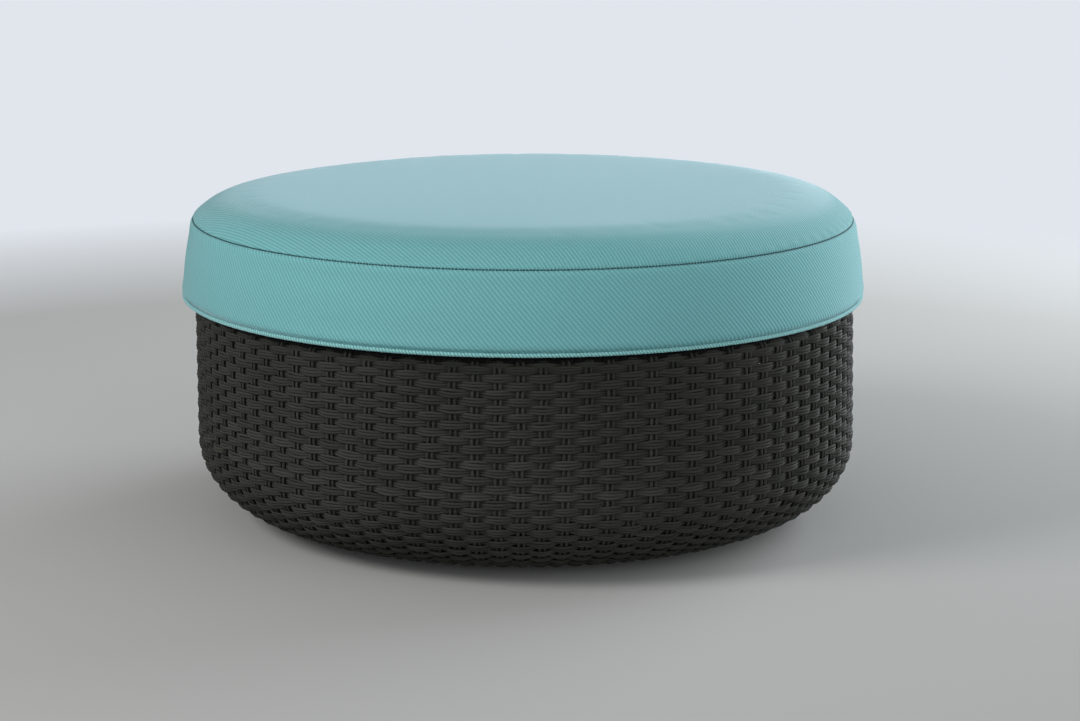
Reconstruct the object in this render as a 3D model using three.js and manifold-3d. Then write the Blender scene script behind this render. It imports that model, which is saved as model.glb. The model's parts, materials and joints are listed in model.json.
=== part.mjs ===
import * as THREE from 'three';
import { mergeVertices } from 'three/addons/utils/BufferGeometryUtils.js';
import Module from 'manifold-3d';

// Round outdoor ottoman: a woven bowl-shaped base on an aluminium frame, with a loose box cushion on top.
// Millimetres, +Z up, origin on the floor under the middle. Angles run from the front (-Y) towards +X.

const wasm = await Module();
wasm.setup();

// Overall sizes
const baseDiameter = 868;
const cushionOverhang = 16;
const rimHeight = 295.7;
const seatGap = 0.3;
const cutOverrun = 5;

// Woven skin: stakes stand up the wall, weaver rows run round it and pass over and under them by turns
const stakeCount = 100;
const rowPitch = 9.6;
const weaveThickness = 9;
const reliefDepth = 5;
const bendTop = 107;
const undersideHeight = 7;
const undersideWidth = 13;
const turnFacets = 3;

// Frame
const hoopSegments = 40;
const tubeSides = 8;
const rodSides = 6;
const ribCount = 8;
const topHoopDiameter = 22;
const baseHoopDiameter = 18;
const baseHoopRadius = 300;
const rodDiameter = 8;
const waistHoopHeight = 186;
const ribWidth = 25;
const ribThickness = 6;
const bendFacets = 6;
const upperBendFacet = 2;
const lowerBendFacet = 4;
const barWidth = 25;
const barHeight = 20;

// Glides and their screws
const glideCount = 4;
const glideSegments = 10;
const glideDiameter = 36;
const glideEdge = 2;
const glideStemDiameter = 11;
const screwDiameter = 5;
const screwHeadDiameter = 9;
const screwHeadHeight = 2.4;
const screwHeadCover = 1.6;
const screwGrip = 8;

// Cushion
const cushionSegments = 60;
const pipingDiameter = 5;
const pipingSides = 6;
const bandHeight = 99;
const topSeamInset = 14;
const crownHeight = 36.5;
const crownPower = 19;
const bandPower = 2;
const coverThickness = 2;
const foamInset = 2.4;
const fibreThickness = 12;

// Places on the top panel, as shares of the radius of its seam, from the seam inwards
const crownShares = [1, 0.982, 0.955, 0.915, 0.84];

// Zip in the rear of the band, with its slider and pull
const zipRise = 20.5;
const zipTapeHeight = 24;
const zipTapeThickness = 1;
const zipSlotHeight = 15;
const zipArcDegrees = 156;
const zipEndDegrees = 3;
const rearDegrees = 180;
const sliderParkDegrees = 108;
const coilHeight = 6;
const coilThickness = 2.2;
const runningGap = 1;
const sliderLength = 18;
const sliderHeight = 12.5;
const sliderWall = 2;
const bridgeLength = 12;
const bridgeRise = 4.8;
const bridgeWire = 1.8;
const bridgeWidth = 3;
const pullLength = 32;
const pullWidth = 9;
const pullThickness = 1.5;
const pullEyeEnd = 2;
const pullGap = 0.6;

// Sizes that follow from the ones above
const baseRadius = baseDiameter / 2;
const topHoopRadius = topHoopDiameter / 2;
const rimRound = topHoopRadius + seatGap + weaveThickness;
const hoopCentreRadius = baseRadius - rimRound;
const hoopCentreHeight = rimHeight - rimRound;
const bendDrop = bendTop - undersideHeight;
const bendCentreRadius = baseHoopRadius + undersideWidth;
const bendReach = baseRadius - bendCentreRadius;
const baseTubeRadius = baseHoopDiameter / 2;
const lipRound = baseTubeRadius + seatGap + weaveThickness;
const lipCentreHeight = undersideHeight + lipRound;
const rodRadius = rodDiameter / 2;
const rodInset = weaveThickness + seatGap + rodRadius;
const ribInset = weaveThickness + seatGap + rodDiameter + seatGap;
const facetShare = Math.cos(Math.PI / hoopSegments);
const deckUnderside = rimHeight - weaveThickness;
const barTop = deckUnderside - seatGap;
const cushionBottom = rimHeight + seatGap;
const pipingRadius = pipingDiameter / 2;
const cushionRadius = baseRadius + cushionOverhang;
const pipingCentreRadius = cushionRadius - pipingRadius;
const pipingCentreHeight = cushionBottom + coverThickness / 2;
const bandBottom = pipingCentreHeight + pipingRadius + seatGap;
const topSeamRadius = cushionRadius - topSeamInset;
const topSeamHeight = pipingCentreHeight + bandHeight;
const bandTop = topSeamHeight - seatGap;
const zipHeight = pipingCentreHeight + zipRise;

// Materials, one maker for each finish
function material(colour, roughness, metalness) {
  return new THREE.MeshStandardMaterial({ color: colour, roughness, metalness });
}
const wovenFibre = material(0x3a3b38, 0.75, 0);
const coatedAluminium = material(0x2c2d2b, 0.5, 0.4);
const nylon = material(0x1c1c1c, 0.6, 0);
const stainless = material(0xb9bbbd, 0.3, 1);
const coverFabric = material(0x6fa9a7, 0.9, 0);
const pipingFabric = material(0x86bdbb, 0.85, 0);
const foam = material(0xe4e2d6, 0.95, 0);
const fibreFill = material(0xf3f3f0, 1, 0);
const zipTapeCloth = material(0x4f8a89, 0.9, 0);
const zipPlastic = material(0x3f7675, 0.55, 0);

function node(name, geometry, finish) {
  const mesh = new THREE.Mesh(geometry, finish);
  mesh.name = name;
  return mesh;
}

// Turns a profile of (radius, height) points round the Z axis
function revolve(points, segments) {
  const profile = points.map(([radius, height]) => new THREE.Vector2(radius, height));
  return new THREE.LatheGeometry(profile, segments).rotateX(Math.PI / 2);
}

// A closed profile, counterclockwise, that ends on its first point
function closed(points) {
  return [...points, points[0]];
}

// Round bar section whose flats touch the true circle, one flat facing along the turn angle
function roundSection(radius, height, size, sides, turn = 0) {
  const corner = size / Math.cos(Math.PI / sides);
  const points = [];
  for (let side = 0; side < sides; side += 1) {
    const angle = turn + ((side + 0.5) * 2 * Math.PI) / sides;
    points.push([radius + corner * Math.cos(angle), height + corner * Math.sin(angle)]);
  }
  return closed(points);
}

function solid(geometry) {
  const bare = geometry.clone();
  bare.deleteAttribute('normal');
  bare.deleteAttribute('uv');
  const merged = mergeVertices(bare);
  return new wasm.Manifold(new wasm.Mesh({
    numProp: 3,
    vertProperties: merged.attributes.position.array,
    triVerts: new Uint32Array(merged.index.array),
  }));
}

function geometryOf(manifold) {
  const mesh = manifold.getMesh();
  const geometry = new THREE.BufferGeometry();
  geometry.setAttribute('position', new THREE.BufferAttribute(mesh.vertProperties, 3));
  geometry.setIndex(new THREE.BufferAttribute(mesh.triVerts, 1));
  const flat = geometry.toNonIndexed();
  flat.computeVertexNormals();
  return flat;
}

function place(mesh, degrees, radius) {
  const angle = THREE.MathUtils.degToRad(degrees);
  mesh.position.x = radius * Math.sin(angle);
  mesh.position.y = -radius * Math.cos(angle);
  mesh.rotation.z = angle;
  return mesh;
}

// Woven skin

// Outer outline of the woven rows from under the rim to the end of the bend
function wallPath() {
  const path = new THREE.Path();
  path.moveTo(baseRadius, hoopCentreHeight);
  path.lineTo(baseRadius, bendTop);
  path.absellipse(bendCentreRadius, bendTop, bendReach, bendDrop, 0, -Math.PI / 2, true);
  return path;
}

// Woven rows: places equally spaced along the outline, with the direction that faces out
function wovenRows() {
  const path = wallPath();
  const rowCount = Math.round(path.getLength() / rowPitch);
  const rows = [];
  for (let row = 0; row <= rowCount; row += 1) {
    const point = path.getPointAt(row / rowCount);
    const along = path.getTangentAt(row / rowCount);
    rows.push({ radius: point.x, height: point.y, outX: -along.y, outY: along.x });
  }
  return rows;
}

// Quarter turn of strands wrapped round a hoop, inwards from the start angle
function wrapOutline(radius, height, round, start) {
  const points = [];
  for (let facet = 0; facet <= turnFacets; facet += 1) {
    const angle = start - ((facet / turnFacets) * Math.PI) / 2;
    points.push([radius + round * Math.cos(angle), height + round * Math.sin(angle)]);
  }
  return points;
}

// Two corners of a tube's section, whose flats touch the true circle, from the start angle on
function hoopCorners(radius, height, round, start) {
  const halfSide = Math.PI / tubeSides;
  const corner = round / Math.cos(halfSide);
  return [1, 3].map((turns) => {
    const angle = start + turns * halfSide;
    return [radius + corner * Math.cos(angle), height + corner * Math.sin(angle)];
  });
}

// Inner face of the skin, from the lip up to the rim; its facets touch the true curve from outside
function innerOutline() {
  const lipInner = lipRound - weaveThickness;
  const step = Math.PI / 2 / bendFacets;
  const reach = (bendReach - weaveThickness) / Math.cos(step / 2);
  const drop = (bendDrop - weaveThickness) / Math.cos(step / 2);
  const bend = [];
  for (let facet = bendFacets - 1; facet >= 0; facet -= 1) {
    const angle = (facet + 0.5) * step;
    bend.push([bendCentreRadius + reach * Math.cos(angle), bendTop - drop * Math.sin(angle)]);
  }
  return [
    [baseHoopRadius - lipInner, lipCentreHeight],
    ...hoopCorners(baseHoopRadius, lipCentreHeight, lipInner, Math.PI),
    ...bend,
    ...hoopCorners(hoopCentreRadius, hoopCentreHeight, rimRound - weaveThickness, 0),
    [hoopCentreRadius, deckUnderside],
  ];
}

function skinSurface() {
  const positions = [];
  const faces = [];
  const ring = (count, placeAt) => {
    const first = positions.length / 3;
    for (let column = 0; column < count; column += 1) {
      const angle = (column * 2 * Math.PI) / count;
      const [radius, height] = placeAt(column);
      positions.push(radius * Math.sin(angle), -radius * Math.cos(angle), height);
    }
    return { first, count };
  };
  const at = (line, column) => line.first + (column % line.count);

  // Rows of the weave: each square is split along the line that joins its two raised corners
  const weave = (upper, lower, row) => {
    for (let column = 0; column < stakeCount; column += 1) {
      const a = at(upper, column);
      const b = at(upper, column + 1);
      const c = at(lower, column + 1);
      const d = at(lower, column);
      if ((row + column) % 2 === 0) {
        faces.push(a, d, c, a, c, b);
      } else {
        faces.push(a, d, b, b, d, c);
      }
    }
  };

  // Two rings of any counts: the one whose next corner comes first moves on
  const bridge = (upper, lower) => {
    let u = 0;
    let l = 0;
    while (u < upper.count || l < lower.count) {
      const upperNext = (u + 1) / upper.count;
      const lowerNext = (l + 1) / lower.count;
      if (u < upper.count && upperNext <= lowerNext) {
        faces.push(at(upper, u), at(lower, l), at(upper, u + 1));
        u += 1;
      } else {
        faces.push(at(upper, u), at(lower, l), at(lower, l + 1));
        l += 1;
      }
    }
  };

  const rows = wovenRows().map((line, row) => ring(stakeCount, (column) => {
    const depth = (row + column) % 2 === 0 ? 0 : reliefDepth;
    return [line.radius - depth * line.outX, line.height - depth * line.outY];
  }));
  for (let row = 1; row < rows.length; row += 1) {
    weave(rows[row - 1], rows[row], row - 1);
  }
  const lip = wrapOutline(baseHoopRadius, lipCentreHeight, lipRound, -Math.PI / 2);
  const rim = wrapOutline(hoopCentreRadius, hoopCentreHeight, rimRound, Math.PI / 2).slice(0, -1);
  const plain = [...lip, ...innerOutline(), ...rim];
  const plainRings = plain.map((point) => ring(hoopSegments, () => point));
  const loop = [rows[rows.length - 1], ...plainRings, rows[0]];
  for (let turn = 1; turn < loop.length; turn += 1) {
    bridge(loop[turn - 1], loop[turn]);
  }
  const geometry = new THREE.BufferGeometry();
  geometry.setAttribute('position', new THREE.Float32BufferAttribute(positions, 3));
  geometry.setIndex(faces);
  return geometry;
}

function glideAngles() {
  const step = 360 / glideCount;
  return Array.from({ length: glideCount }, (_, index) => (index + 0.5) * step);
}

// Upright pin at each glide, for the holes that its stem and screw pass through
function glidePins(radius, low, high) {
  return glideAngles().map((degrees) => {
    const pin = new THREE.Mesh(revolve([[0, low], [radius, low], [radius, high], [0, high]], glideSegments));
    place(pin, degrees, baseHoopRadius);
    pin.updateMatrixWorld();
    return solid(pin.geometry.clone().applyMatrix4(pin.matrixWorld));
  });
}

function drilled(geometry, pins) {
  return geometryOf(pins.reduce((body, pin) => body.subtract(pin), solid(geometry)));
}

function sideWeave() {
  const stemHole = glideStemDiameter / 2 + seatGap;
  const pins = glidePins(stemHole, -cutOverrun, lipCentreHeight);
  return node('side_weave', drilled(skinSurface(), pins), wovenFibre);
}

function deckWeave() {
  const edge = hoopCentreRadius - seatGap;
  const outline = [[0, deckUnderside], [edge, deckUnderside], [edge, rimHeight], [0, rimHeight]];
  return node('deck_weave', revolve(outline, hoopSegments), wovenFibre);
}

// Frame

function topHoop() {
  const section = roundSection(hoopCentreRadius, hoopCentreHeight, topHoopRadius, tubeSides);
  return node('top_hoop', revolve(section, hoopSegments), coatedAluminium);
}

function waistHoop() {
  const section = roundSection(baseRadius - rodInset, waistHoopHeight, rodRadius, rodSides);
  return node('waist_hoop', revolve(section, hoopSegments), coatedAluminium);
}

// Rod hoop that lies in the bend, square to the skin, at one of the places where a facet touches the curve
function bendHoop(name, facet) {
  const angle = (facet * Math.PI) / 2 / bendFacets;
  const reach = bendReach - rodInset;
  const drop = bendDrop - rodInset;
  const radius = bendCentreRadius + reach * Math.cos(angle);
  const height = bendTop - drop * Math.sin(angle);
  const turn = -Math.atan2(Math.sin(angle) * reach, Math.cos(angle) * drop);
  const section = roundSection(radius, height, rodRadius, rodSides, turn);
  return node(name, revolve(section, hoopSegments), coatedAluminium);
}

function baseHoop() {
  const section = roundSection(baseHoopRadius, lipCentreHeight, baseTubeRadius, tubeSides);
  const screwHole = screwDiameter / 2 + seatGap;
  const screwEnd = lipCentreHeight - baseTubeRadius + screwGrip + seatGap;
  const pins = glidePins(screwHole, -cutOverrun, screwEnd);
  return node('base_hoop', drilled(revolve(section, hoopSegments), pins), coatedAluminium);
}

// Flat bar bent to the wall and the bend, from under the top hoop to the side of the base hoop
function rib(index) {
  const top = hoopCentreHeight - topHoopRadius - seatGap;
  const end = baseHoopRadius + baseTubeRadius + seatGap;
  const outerReach = bendReach - ribInset;
  const outerDrop = bendDrop - ribInset;
  const innerReach = outerReach - ribThickness;
  const innerDrop = outerDrop - ribThickness;
  const shape = new THREE.Shape();
  shape.moveTo(bendCentreRadius + innerReach, top);
  shape.lineTo(bendCentreRadius + innerReach, bendTop);
  shape.absellipse(bendCentreRadius, bendTop, innerReach, innerDrop, 0, -Math.PI / 2, true);
  shape.lineTo(end, bendTop - innerDrop);
  shape.lineTo(end, bendTop - outerDrop);
  shape.lineTo(bendCentreRadius, bendTop - outerDrop);
  shape.absellipse(bendCentreRadius, bendTop, outerReach, outerDrop, -Math.PI / 2, 0, false);
  shape.lineTo(bendCentreRadius + outerReach, top);
  shape.closePath();
  const bar = new THREE.ExtrudeGeometry(shape, {
    depth: ribWidth,
    bevelEnabled: false,
    curveSegments: bendFacets,
  });
  bar.translate(0, 0, -ribWidth / 2);
  bar.scale(facetShare, 1, 1);
  bar.rotateX(Math.PI / 2);
  const mesh = node(`rib_${index + 1}`, bar, coatedAluminium);
  const step = (2 * Math.PI) / ribCount;
  mesh.rotation.z = (index + 0.5) * step - Math.PI / 2;
  return mesh;
}

// Deck grid: bars between the flats of the top hoop, over the ribs, and short bars butted between them
const hoopFlat = (hoopCentreRadius - topHoopRadius) * facetShare - seatGap;
const barAngle = Math.PI / ribCount;
const barPlace = hoopFlat * Math.sin(barAngle);

function barSolid(name, corners) {
  const shape = new THREE.Shape(corners.map(([x, y]) => new THREE.Vector2(x, y)));
  const bar = new THREE.ExtrudeGeometry(shape, { depth: barHeight, bevelEnabled: false });
  bar.translate(0, 0, barTop - barHeight);
  return node(name, bar, coatedAluminium);
}

// How far a bar reaches before the slanting flat of the hoop, at a distance from the middle line
function barReach(offset) {
  return (hoopFlat - offset * Math.sin(barAngle)) / Math.cos(barAngle);
}

function longBar(name, side) {
  const inner = side * (barPlace - barWidth / 2);
  const outer = side * (barPlace + barWidth / 2);
  const innerEnd = barReach(Math.abs(inner));
  const outerEnd = barReach(Math.abs(outer));
  const corners = [[inner, -innerEnd], [outer, -outerEnd], [outer, outerEnd], [inner, innerEnd]];
  return barSolid(name, side > 0 ? corners : corners.reverse());
}

function middleBar(name, side) {
  const end = barPlace - barWidth / 2 - seatGap;
  const low = side * barPlace - barWidth / 2;
  const high = side * barPlace + barWidth / 2;
  return barSolid(name, [[-end, low], [end, low], [end, high], [-end, high]]);
}

function outerBar(name, sideX, sideY) {
  const start = barPlace + barWidth / 2 + seatGap;
  const near = barPlace - barWidth / 2;
  const far = barPlace + barWidth / 2;
  const corners = [
    [sideX * start, sideY * near],
    [sideX * barReach(near), sideY * near],
    [sideX * barReach(far), sideY * far],
    [sideX * start, sideY * far],
  ];
  return barSolid(name, sideX * sideY > 0 ? corners : corners.reverse());
}

function deckBars() {
  return [
    longBar('deck_bar_left', -1),
    longBar('deck_bar_right', 1),
    middleBar('deck_cross_front', -1),
    middleBar('deck_cross_rear', 1),
    outerBar('deck_stub_front_left', -1, -1),
    outerBar('deck_stub_front_right', 1, -1),
    outerBar('deck_stub_rear_left', -1, 1),
    outerBar('deck_stub_rear_right', 1, 1),
  ];
}

// Glides: a nylon foot whose stem passes between the strands up to the base hoop
function glide(index) {
  const bore = screwDiameter / 2 + seatGap;
  const recess = screwHeadDiameter / 2 + seatGap;
  const step = screwHeadCover + screwHeadHeight + seatGap;
  const radius = glideDiameter / 2;
  const shoulder = undersideHeight - seatGap;
  const top = lipCentreHeight - baseTubeRadius - seatGap;
  const stem = glideStemDiameter / 2;
  const outline = closed([
    [recess, 0],
    [radius - glideEdge, 0],
    [radius, glideEdge],
    [radius, shoulder],
    [stem, shoulder],
    [stem, top],
    [bore, top],
    [bore, step],
    [recess, step],
  ]);
  const mesh = node(`glide_${index + 1}`, revolve(outline, glideSegments), nylon);
  return place(mesh, glideAngles()[index], baseHoopRadius);
}

function glideScrew(index) {
  const head = screwHeadDiameter / 2;
  const shank = screwDiameter / 2;
  const underHead = screwHeadCover + screwHeadHeight;
  const end = lipCentreHeight - baseTubeRadius + screwGrip;
  const outline = [
    [0, screwHeadCover],
    [head, screwHeadCover],
    [head, underHead],
    [shank, underHead],
    [shank, end],
    [0, end],
  ];
  const mesh = node(`glide_screw_${index + 1}`, revolve(outline, glideSegments), stainless);
  return place(mesh, glideAngles()[index], baseHoopRadius);
}

// Cushion

// Crown over the top seam: steep at the seam, rounding into a nearly flat middle
function crownPoint(share, inset) {
  const seam = topSeamRadius - inset;
  const rise = (crownHeight - inset) * (1 - share ** crownPower);
  return [share * seam, topSeamHeight + rise];
}

// Outer radius of the band, which is drawn in towards the top seam
function bandRadius(height) {
  const depthShare = (topSeamHeight - height) / bandHeight;
  return topSeamRadius + topSeamInset * (1 - (1 - depthShare) ** bandPower);
}

function bandHeights(low, high) {
  const zipLow = zipHeight - zipTapeHeight / 2;
  const zipHigh = zipHeight + zipTapeHeight / 2;
  return [low, zipLow, zipHigh, (zipHigh + high) / 2, high];
}

function coverTop() {
  const outer = crownShares.map((share) => crownPoint(share, 0));
  const inner = crownShares.map((share) => crownPoint(share, coverThickness));
  const middle = [0, topSeamHeight + crownHeight];
  const middleInside = [0, topSeamHeight + crownHeight - coverThickness];
  const outline = [middleInside, ...inner.reverse(), ...outer, middle];
  return node('cover_top', revolve(outline, cushionSegments), coverFabric);
}

function sector(fromDegrees, toDegrees, low, high) {
  const from = THREE.MathUtils.degToRad(fromDegrees) - Math.PI / 2;
  const to = THREE.MathUtils.degToRad(toDegrees) - Math.PI / 2;
  const shape = new THREE.Shape();
  const reach = 2 * cushionRadius;
  shape.moveTo(0, 0);
  shape.lineTo(reach * Math.cos(from), reach * Math.sin(from));
  shape.absarc(0, 0, reach, from, to, false);
  shape.closePath();
  const wedge = new THREE.ExtrudeGeometry(shape, { depth: high - low, bevelEnabled: false });
  return solid(wedge.translate(0, 0, low));
}

function zipSector(endDegrees, height) {
  const half = zipArcDegrees / 2 - endDegrees;
  return sector(rearDegrees - half, rearDegrees + half, zipHeight - height / 2, zipHeight + height / 2);
}

function coverBand() {
  const heights = bandHeights(bandBottom, bandTop);
  const outer = heights.map((height) => [bandRadius(height), height]);
  const inner = heights.map((height) => [bandRadius(height) - coverThickness, height]);
  const ring = solid(revolve(closed([...outer, ...inner.reverse()]), cushionSegments));
  return node('cover_band', geometryOf(ring.subtract(zipSector(0, zipSlotHeight))), coverFabric);
}

function coverBottom() {
  const edge = pipingCentreRadius - pipingRadius - seatGap;
  const top = cushionBottom + coverThickness;
  const outline = [[0, cushionBottom], [edge, cushionBottom], [edge, top], [0, top]];
  return node('cover_bottom', revolve(outline, cushionSegments), coverFabric);
}

function piping() {
  const section = roundSection(pipingCentreRadius, pipingCentreHeight, pipingRadius, pipingSides);
  return node('piping', revolve(section, cushionSegments), pipingFabric);
}

const foamTop = topSeamHeight - fibreThickness;

function foamCore() {
  const low = cushionBottom + coverThickness + seatGap;
  const inset = coverThickness + foamInset;
  const side = bandHeights(low, foamTop).map((height) => {
    const radius = Math.min(bandRadius(height) - inset, pipingCentreRadius - pipingRadius - seatGap);
    return [radius, height];
  });
  const outline = [[0, low], ...side, [0, foamTop]];
  return node('foam_core', revolve(outline, cushionSegments), foam);
}

// Fibre filling over the foam, which gives the crown its shape
function fibreLayer() {
  const inset = coverThickness + seatGap;
  const low = foamTop + seatGap;
  const lowRadius = bandRadius(low) - coverThickness - foamInset;
  const crown = crownShares.map((share) => crownPoint(share, inset));
  const top = [0, topSeamHeight + crownHeight - inset];
  const outline = [[0, low], [lowRadius, low], ...crown, top];
  return node('fibre_layer', revolve(outline, cushionSegments), fibreFill);
}

// Upright band of cloth or coil behind or in the slot of the band
function zipStrip(name, height, inset, thickness, endDegrees, finish) {
  const low = zipHeight - height / 2;
  const high = zipHeight + height / 2;
  const outer = [[bandRadius(low) - inset, low], [bandRadius(high) - inset, high]];
  const inner = outer.map(([radius, level]) => [radius - thickness, level]).reverse();
  const ring = solid(revolve(closed([...outer, ...inner]), cushionSegments));
  return node(name, geometryOf(ring.intersect(zipSector(endDegrees, height + cutOverrun))), finish);
}

const tapeInset = coverThickness + seatGap;
const coilInset = tapeInset - seatGap - coilThickness;
const coilFace = bandRadius(zipHeight) - coilInset;

function zipTape() {
  return zipStrip('zip_tape', zipTapeHeight, tapeInset, zipTapeThickness, 0, zipTapeCloth);
}

function zipCoil() {
  return zipStrip('zip_coil', coilHeight, coilInset, coilThickness, zipEndDegrees, zipPlastic);
}

// Slider: a channel over the coil with a bridge that holds the pull; X runs along the zip and -Y faces out
function sliderChannel() {
  const half = sliderHeight / 2;
  const mouth = coilHeight / 2 + runningGap;
  const face = runningGap;
  const back = -coilThickness + seatGap;
  const shape = new THREE.Shape();
  shape.moveTo(back, -half);
  shape.lineTo(face + sliderWall, -half);
  shape.lineTo(face + sliderWall, half);
  shape.lineTo(back, half);
  shape.lineTo(back, mouth);
  shape.lineTo(face, mouth);
  shape.lineTo(face, -mouth);
  shape.lineTo(back, -mouth);
  shape.closePath();
  const channel = new THREE.ExtrudeGeometry(shape, { depth: sliderLength, bevelEnabled: false });
  channel.translate(0, 0, -sliderLength / 2);
  return channel.rotateX(Math.PI / 2).rotateZ(-Math.PI / 2);
}

function sliderBridge() {
  const base = runningGap + sliderWall;
  const half = bridgeLength / 2;
  const shape = new THREE.Shape();
  shape.moveTo(-half, base - sliderWall / 2);
  shape.lineTo(-half + bridgeWire, base - sliderWall / 2);
  shape.lineTo(-half + bridgeWire, base + bridgeRise - bridgeWire);
  shape.lineTo(half - bridgeWire, base + bridgeRise - bridgeWire);
  shape.lineTo(half - bridgeWire, base - sliderWall / 2);
  shape.lineTo(half, base - sliderWall / 2);
  shape.lineTo(half, base + bridgeRise);
  shape.lineTo(-half, base + bridgeRise);
  shape.closePath();
  const bridge = new THREE.ExtrudeGeometry(shape, { depth: bridgeWidth, bevelEnabled: false });
  return bridge.translate(0, 0, -bridgeWidth / 2).rotateX(Math.PI);
}

function onZip(mesh) {
  const holder = new THREE.Group();
  holder.add(mesh);
  place(holder, sliderParkDegrees, coilFace);
  holder.position.z = zipHeight;
  return holder;
}

function zipSlider() {
  const channel = solid(sliderChannel());
  const bridge = solid(sliderBridge());
  return onZip(node('zip_slider', geometryOf(channel.add(bridge)), stainless));
}

// Pull: a flat tab whose end strip turns under the bridge
function zipPull() {
  const window = bridgeWidth / 2 + pullGap;
  const pivot = runningGap + sliderWall + (bridgeRise - bridgeWire) / 2;
  const eyeLength = bridgeLength / 2 + pullGap;
  const shape = new THREE.Shape();
  shape.moveTo(-pullEyeEnd / 2, -pullWidth / 2);
  shape.lineTo(pullLength, -pullWidth / 2);
  shape.lineTo(pullLength, pullWidth / 2);
  shape.lineTo(-pullEyeEnd / 2, pullWidth / 2);
  shape.closePath();
  const eye = new THREE.Path();
  eye.moveTo(pullEyeEnd / 2, -window);
  eye.lineTo(pullEyeEnd / 2, window);
  eye.lineTo(eyeLength + pullEyeEnd, window);
  eye.lineTo(eyeLength + pullEyeEnd, -window);
  eye.closePath();
  shape.holes.push(eye);
  const tab = new THREE.ExtrudeGeometry(shape, { depth: pullThickness, bevelEnabled: false });
  tab.translate(0, 0, -pullThickness / 2);
  const mesh = node('zip_pull', tab.rotateX(Math.PI / 2), stainless);
  mesh.position.y = -pivot;
  return onZip(mesh);
}

const ottoman = new THREE.Group();
ottoman.add(sideWeave(), deckWeave());
ottoman.add(topHoop(), waistHoop(), baseHoop());
ottoman.add(bendHoop('upper_bend_hoop', upperBendFacet), bendHoop('lower_bend_hoop', lowerBendFacet));
for (let index = 0; index < ribCount; index += 1) {
  ottoman.add(rib(index));
}
ottoman.add(...deckBars());
for (let index = 0; index < glideCount; index += 1) {
  ottoman.add(glide(index), glideScrew(index));
}
ottoman.add(coverTop(), coverBand(), coverBottom(), piping(), foamCore(), fibreLayer());
ottoman.add(zipTape(), zipCoil(), zipSlider(), zipPull());

export default ottoman;
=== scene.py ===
"""Round outdoor ottoman: a woven bowl-shaped base and a loose box cushion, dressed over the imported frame.

Metres, +Z up, origin on the floor under the middle. Angles run from the front (-Y) towards +X.
"""
import json
import math

import bpy
import numpy as np
from bpy.props import FloatProperty, FloatVectorProperty, IntProperty, PointerProperty
from mathutils import Matrix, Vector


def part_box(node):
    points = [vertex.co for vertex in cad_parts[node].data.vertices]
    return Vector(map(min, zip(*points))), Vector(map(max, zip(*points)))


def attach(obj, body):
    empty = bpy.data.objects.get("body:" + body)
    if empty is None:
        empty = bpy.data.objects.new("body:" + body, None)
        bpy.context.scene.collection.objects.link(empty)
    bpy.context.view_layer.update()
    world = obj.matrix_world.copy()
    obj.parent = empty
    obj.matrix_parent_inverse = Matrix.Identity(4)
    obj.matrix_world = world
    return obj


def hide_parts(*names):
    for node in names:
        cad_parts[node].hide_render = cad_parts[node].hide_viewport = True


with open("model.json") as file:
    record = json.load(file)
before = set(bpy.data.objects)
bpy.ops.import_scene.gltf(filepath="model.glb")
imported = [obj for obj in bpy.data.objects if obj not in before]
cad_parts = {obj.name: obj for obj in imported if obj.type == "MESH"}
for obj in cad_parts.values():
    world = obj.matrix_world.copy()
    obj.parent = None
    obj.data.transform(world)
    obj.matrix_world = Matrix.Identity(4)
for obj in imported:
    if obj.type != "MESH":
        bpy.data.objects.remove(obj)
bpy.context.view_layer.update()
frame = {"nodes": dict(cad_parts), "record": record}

bl_info = {
    "name": "Outdoor ottoman",
    "version": (1, 0, 0),
    "blender": (4, 5, 0),
    "location": "3D View > Sidebar > Ottoman",
    "description": "Weaves the base and sews the cushion of a round outdoor ottoman",
    "category": "Add Mesh",
}


def tint(code):
    """Linear red, green and blue of a six-digit screen colour."""
    parts = [int(code[place:place + 2], 16) / 255 for place in (0, 2, 4)]
    return tuple(part / 12.92 if part <= 0.04045 else ((part + 0.055) / 1.055) ** 2.4 for part in parts)


def colour(name, description, code):
    """A colour to set, from a six-digit screen colour."""
    return FloatVectorProperty(name=name, description=description, subtype="COLOR", size=3, min=0, max=1,
                               default=tint(code))


def length(name, description, default):
    """A length to set, in metres."""
    return FloatProperty(name=name, description=description, default=default, min=0, precision=5,
                         unit="LENGTH")


def turn(name, description, degrees):
    """An angle to set, from degrees."""
    return FloatProperty(name=name, description=description, default=math.radians(degrees), unit="ROTATION")


def power(name, description, default):
    """A lamp's power to set, in watts."""
    return FloatProperty(name=name, description=description, default=default, min=0, unit="POWER")


def amount(name, description, default, least=0):
    """A plain number to set, no smaller than the least."""
    return FloatProperty(name=name, description=description, default=default, min=least)


# Sizes and colours


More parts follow.
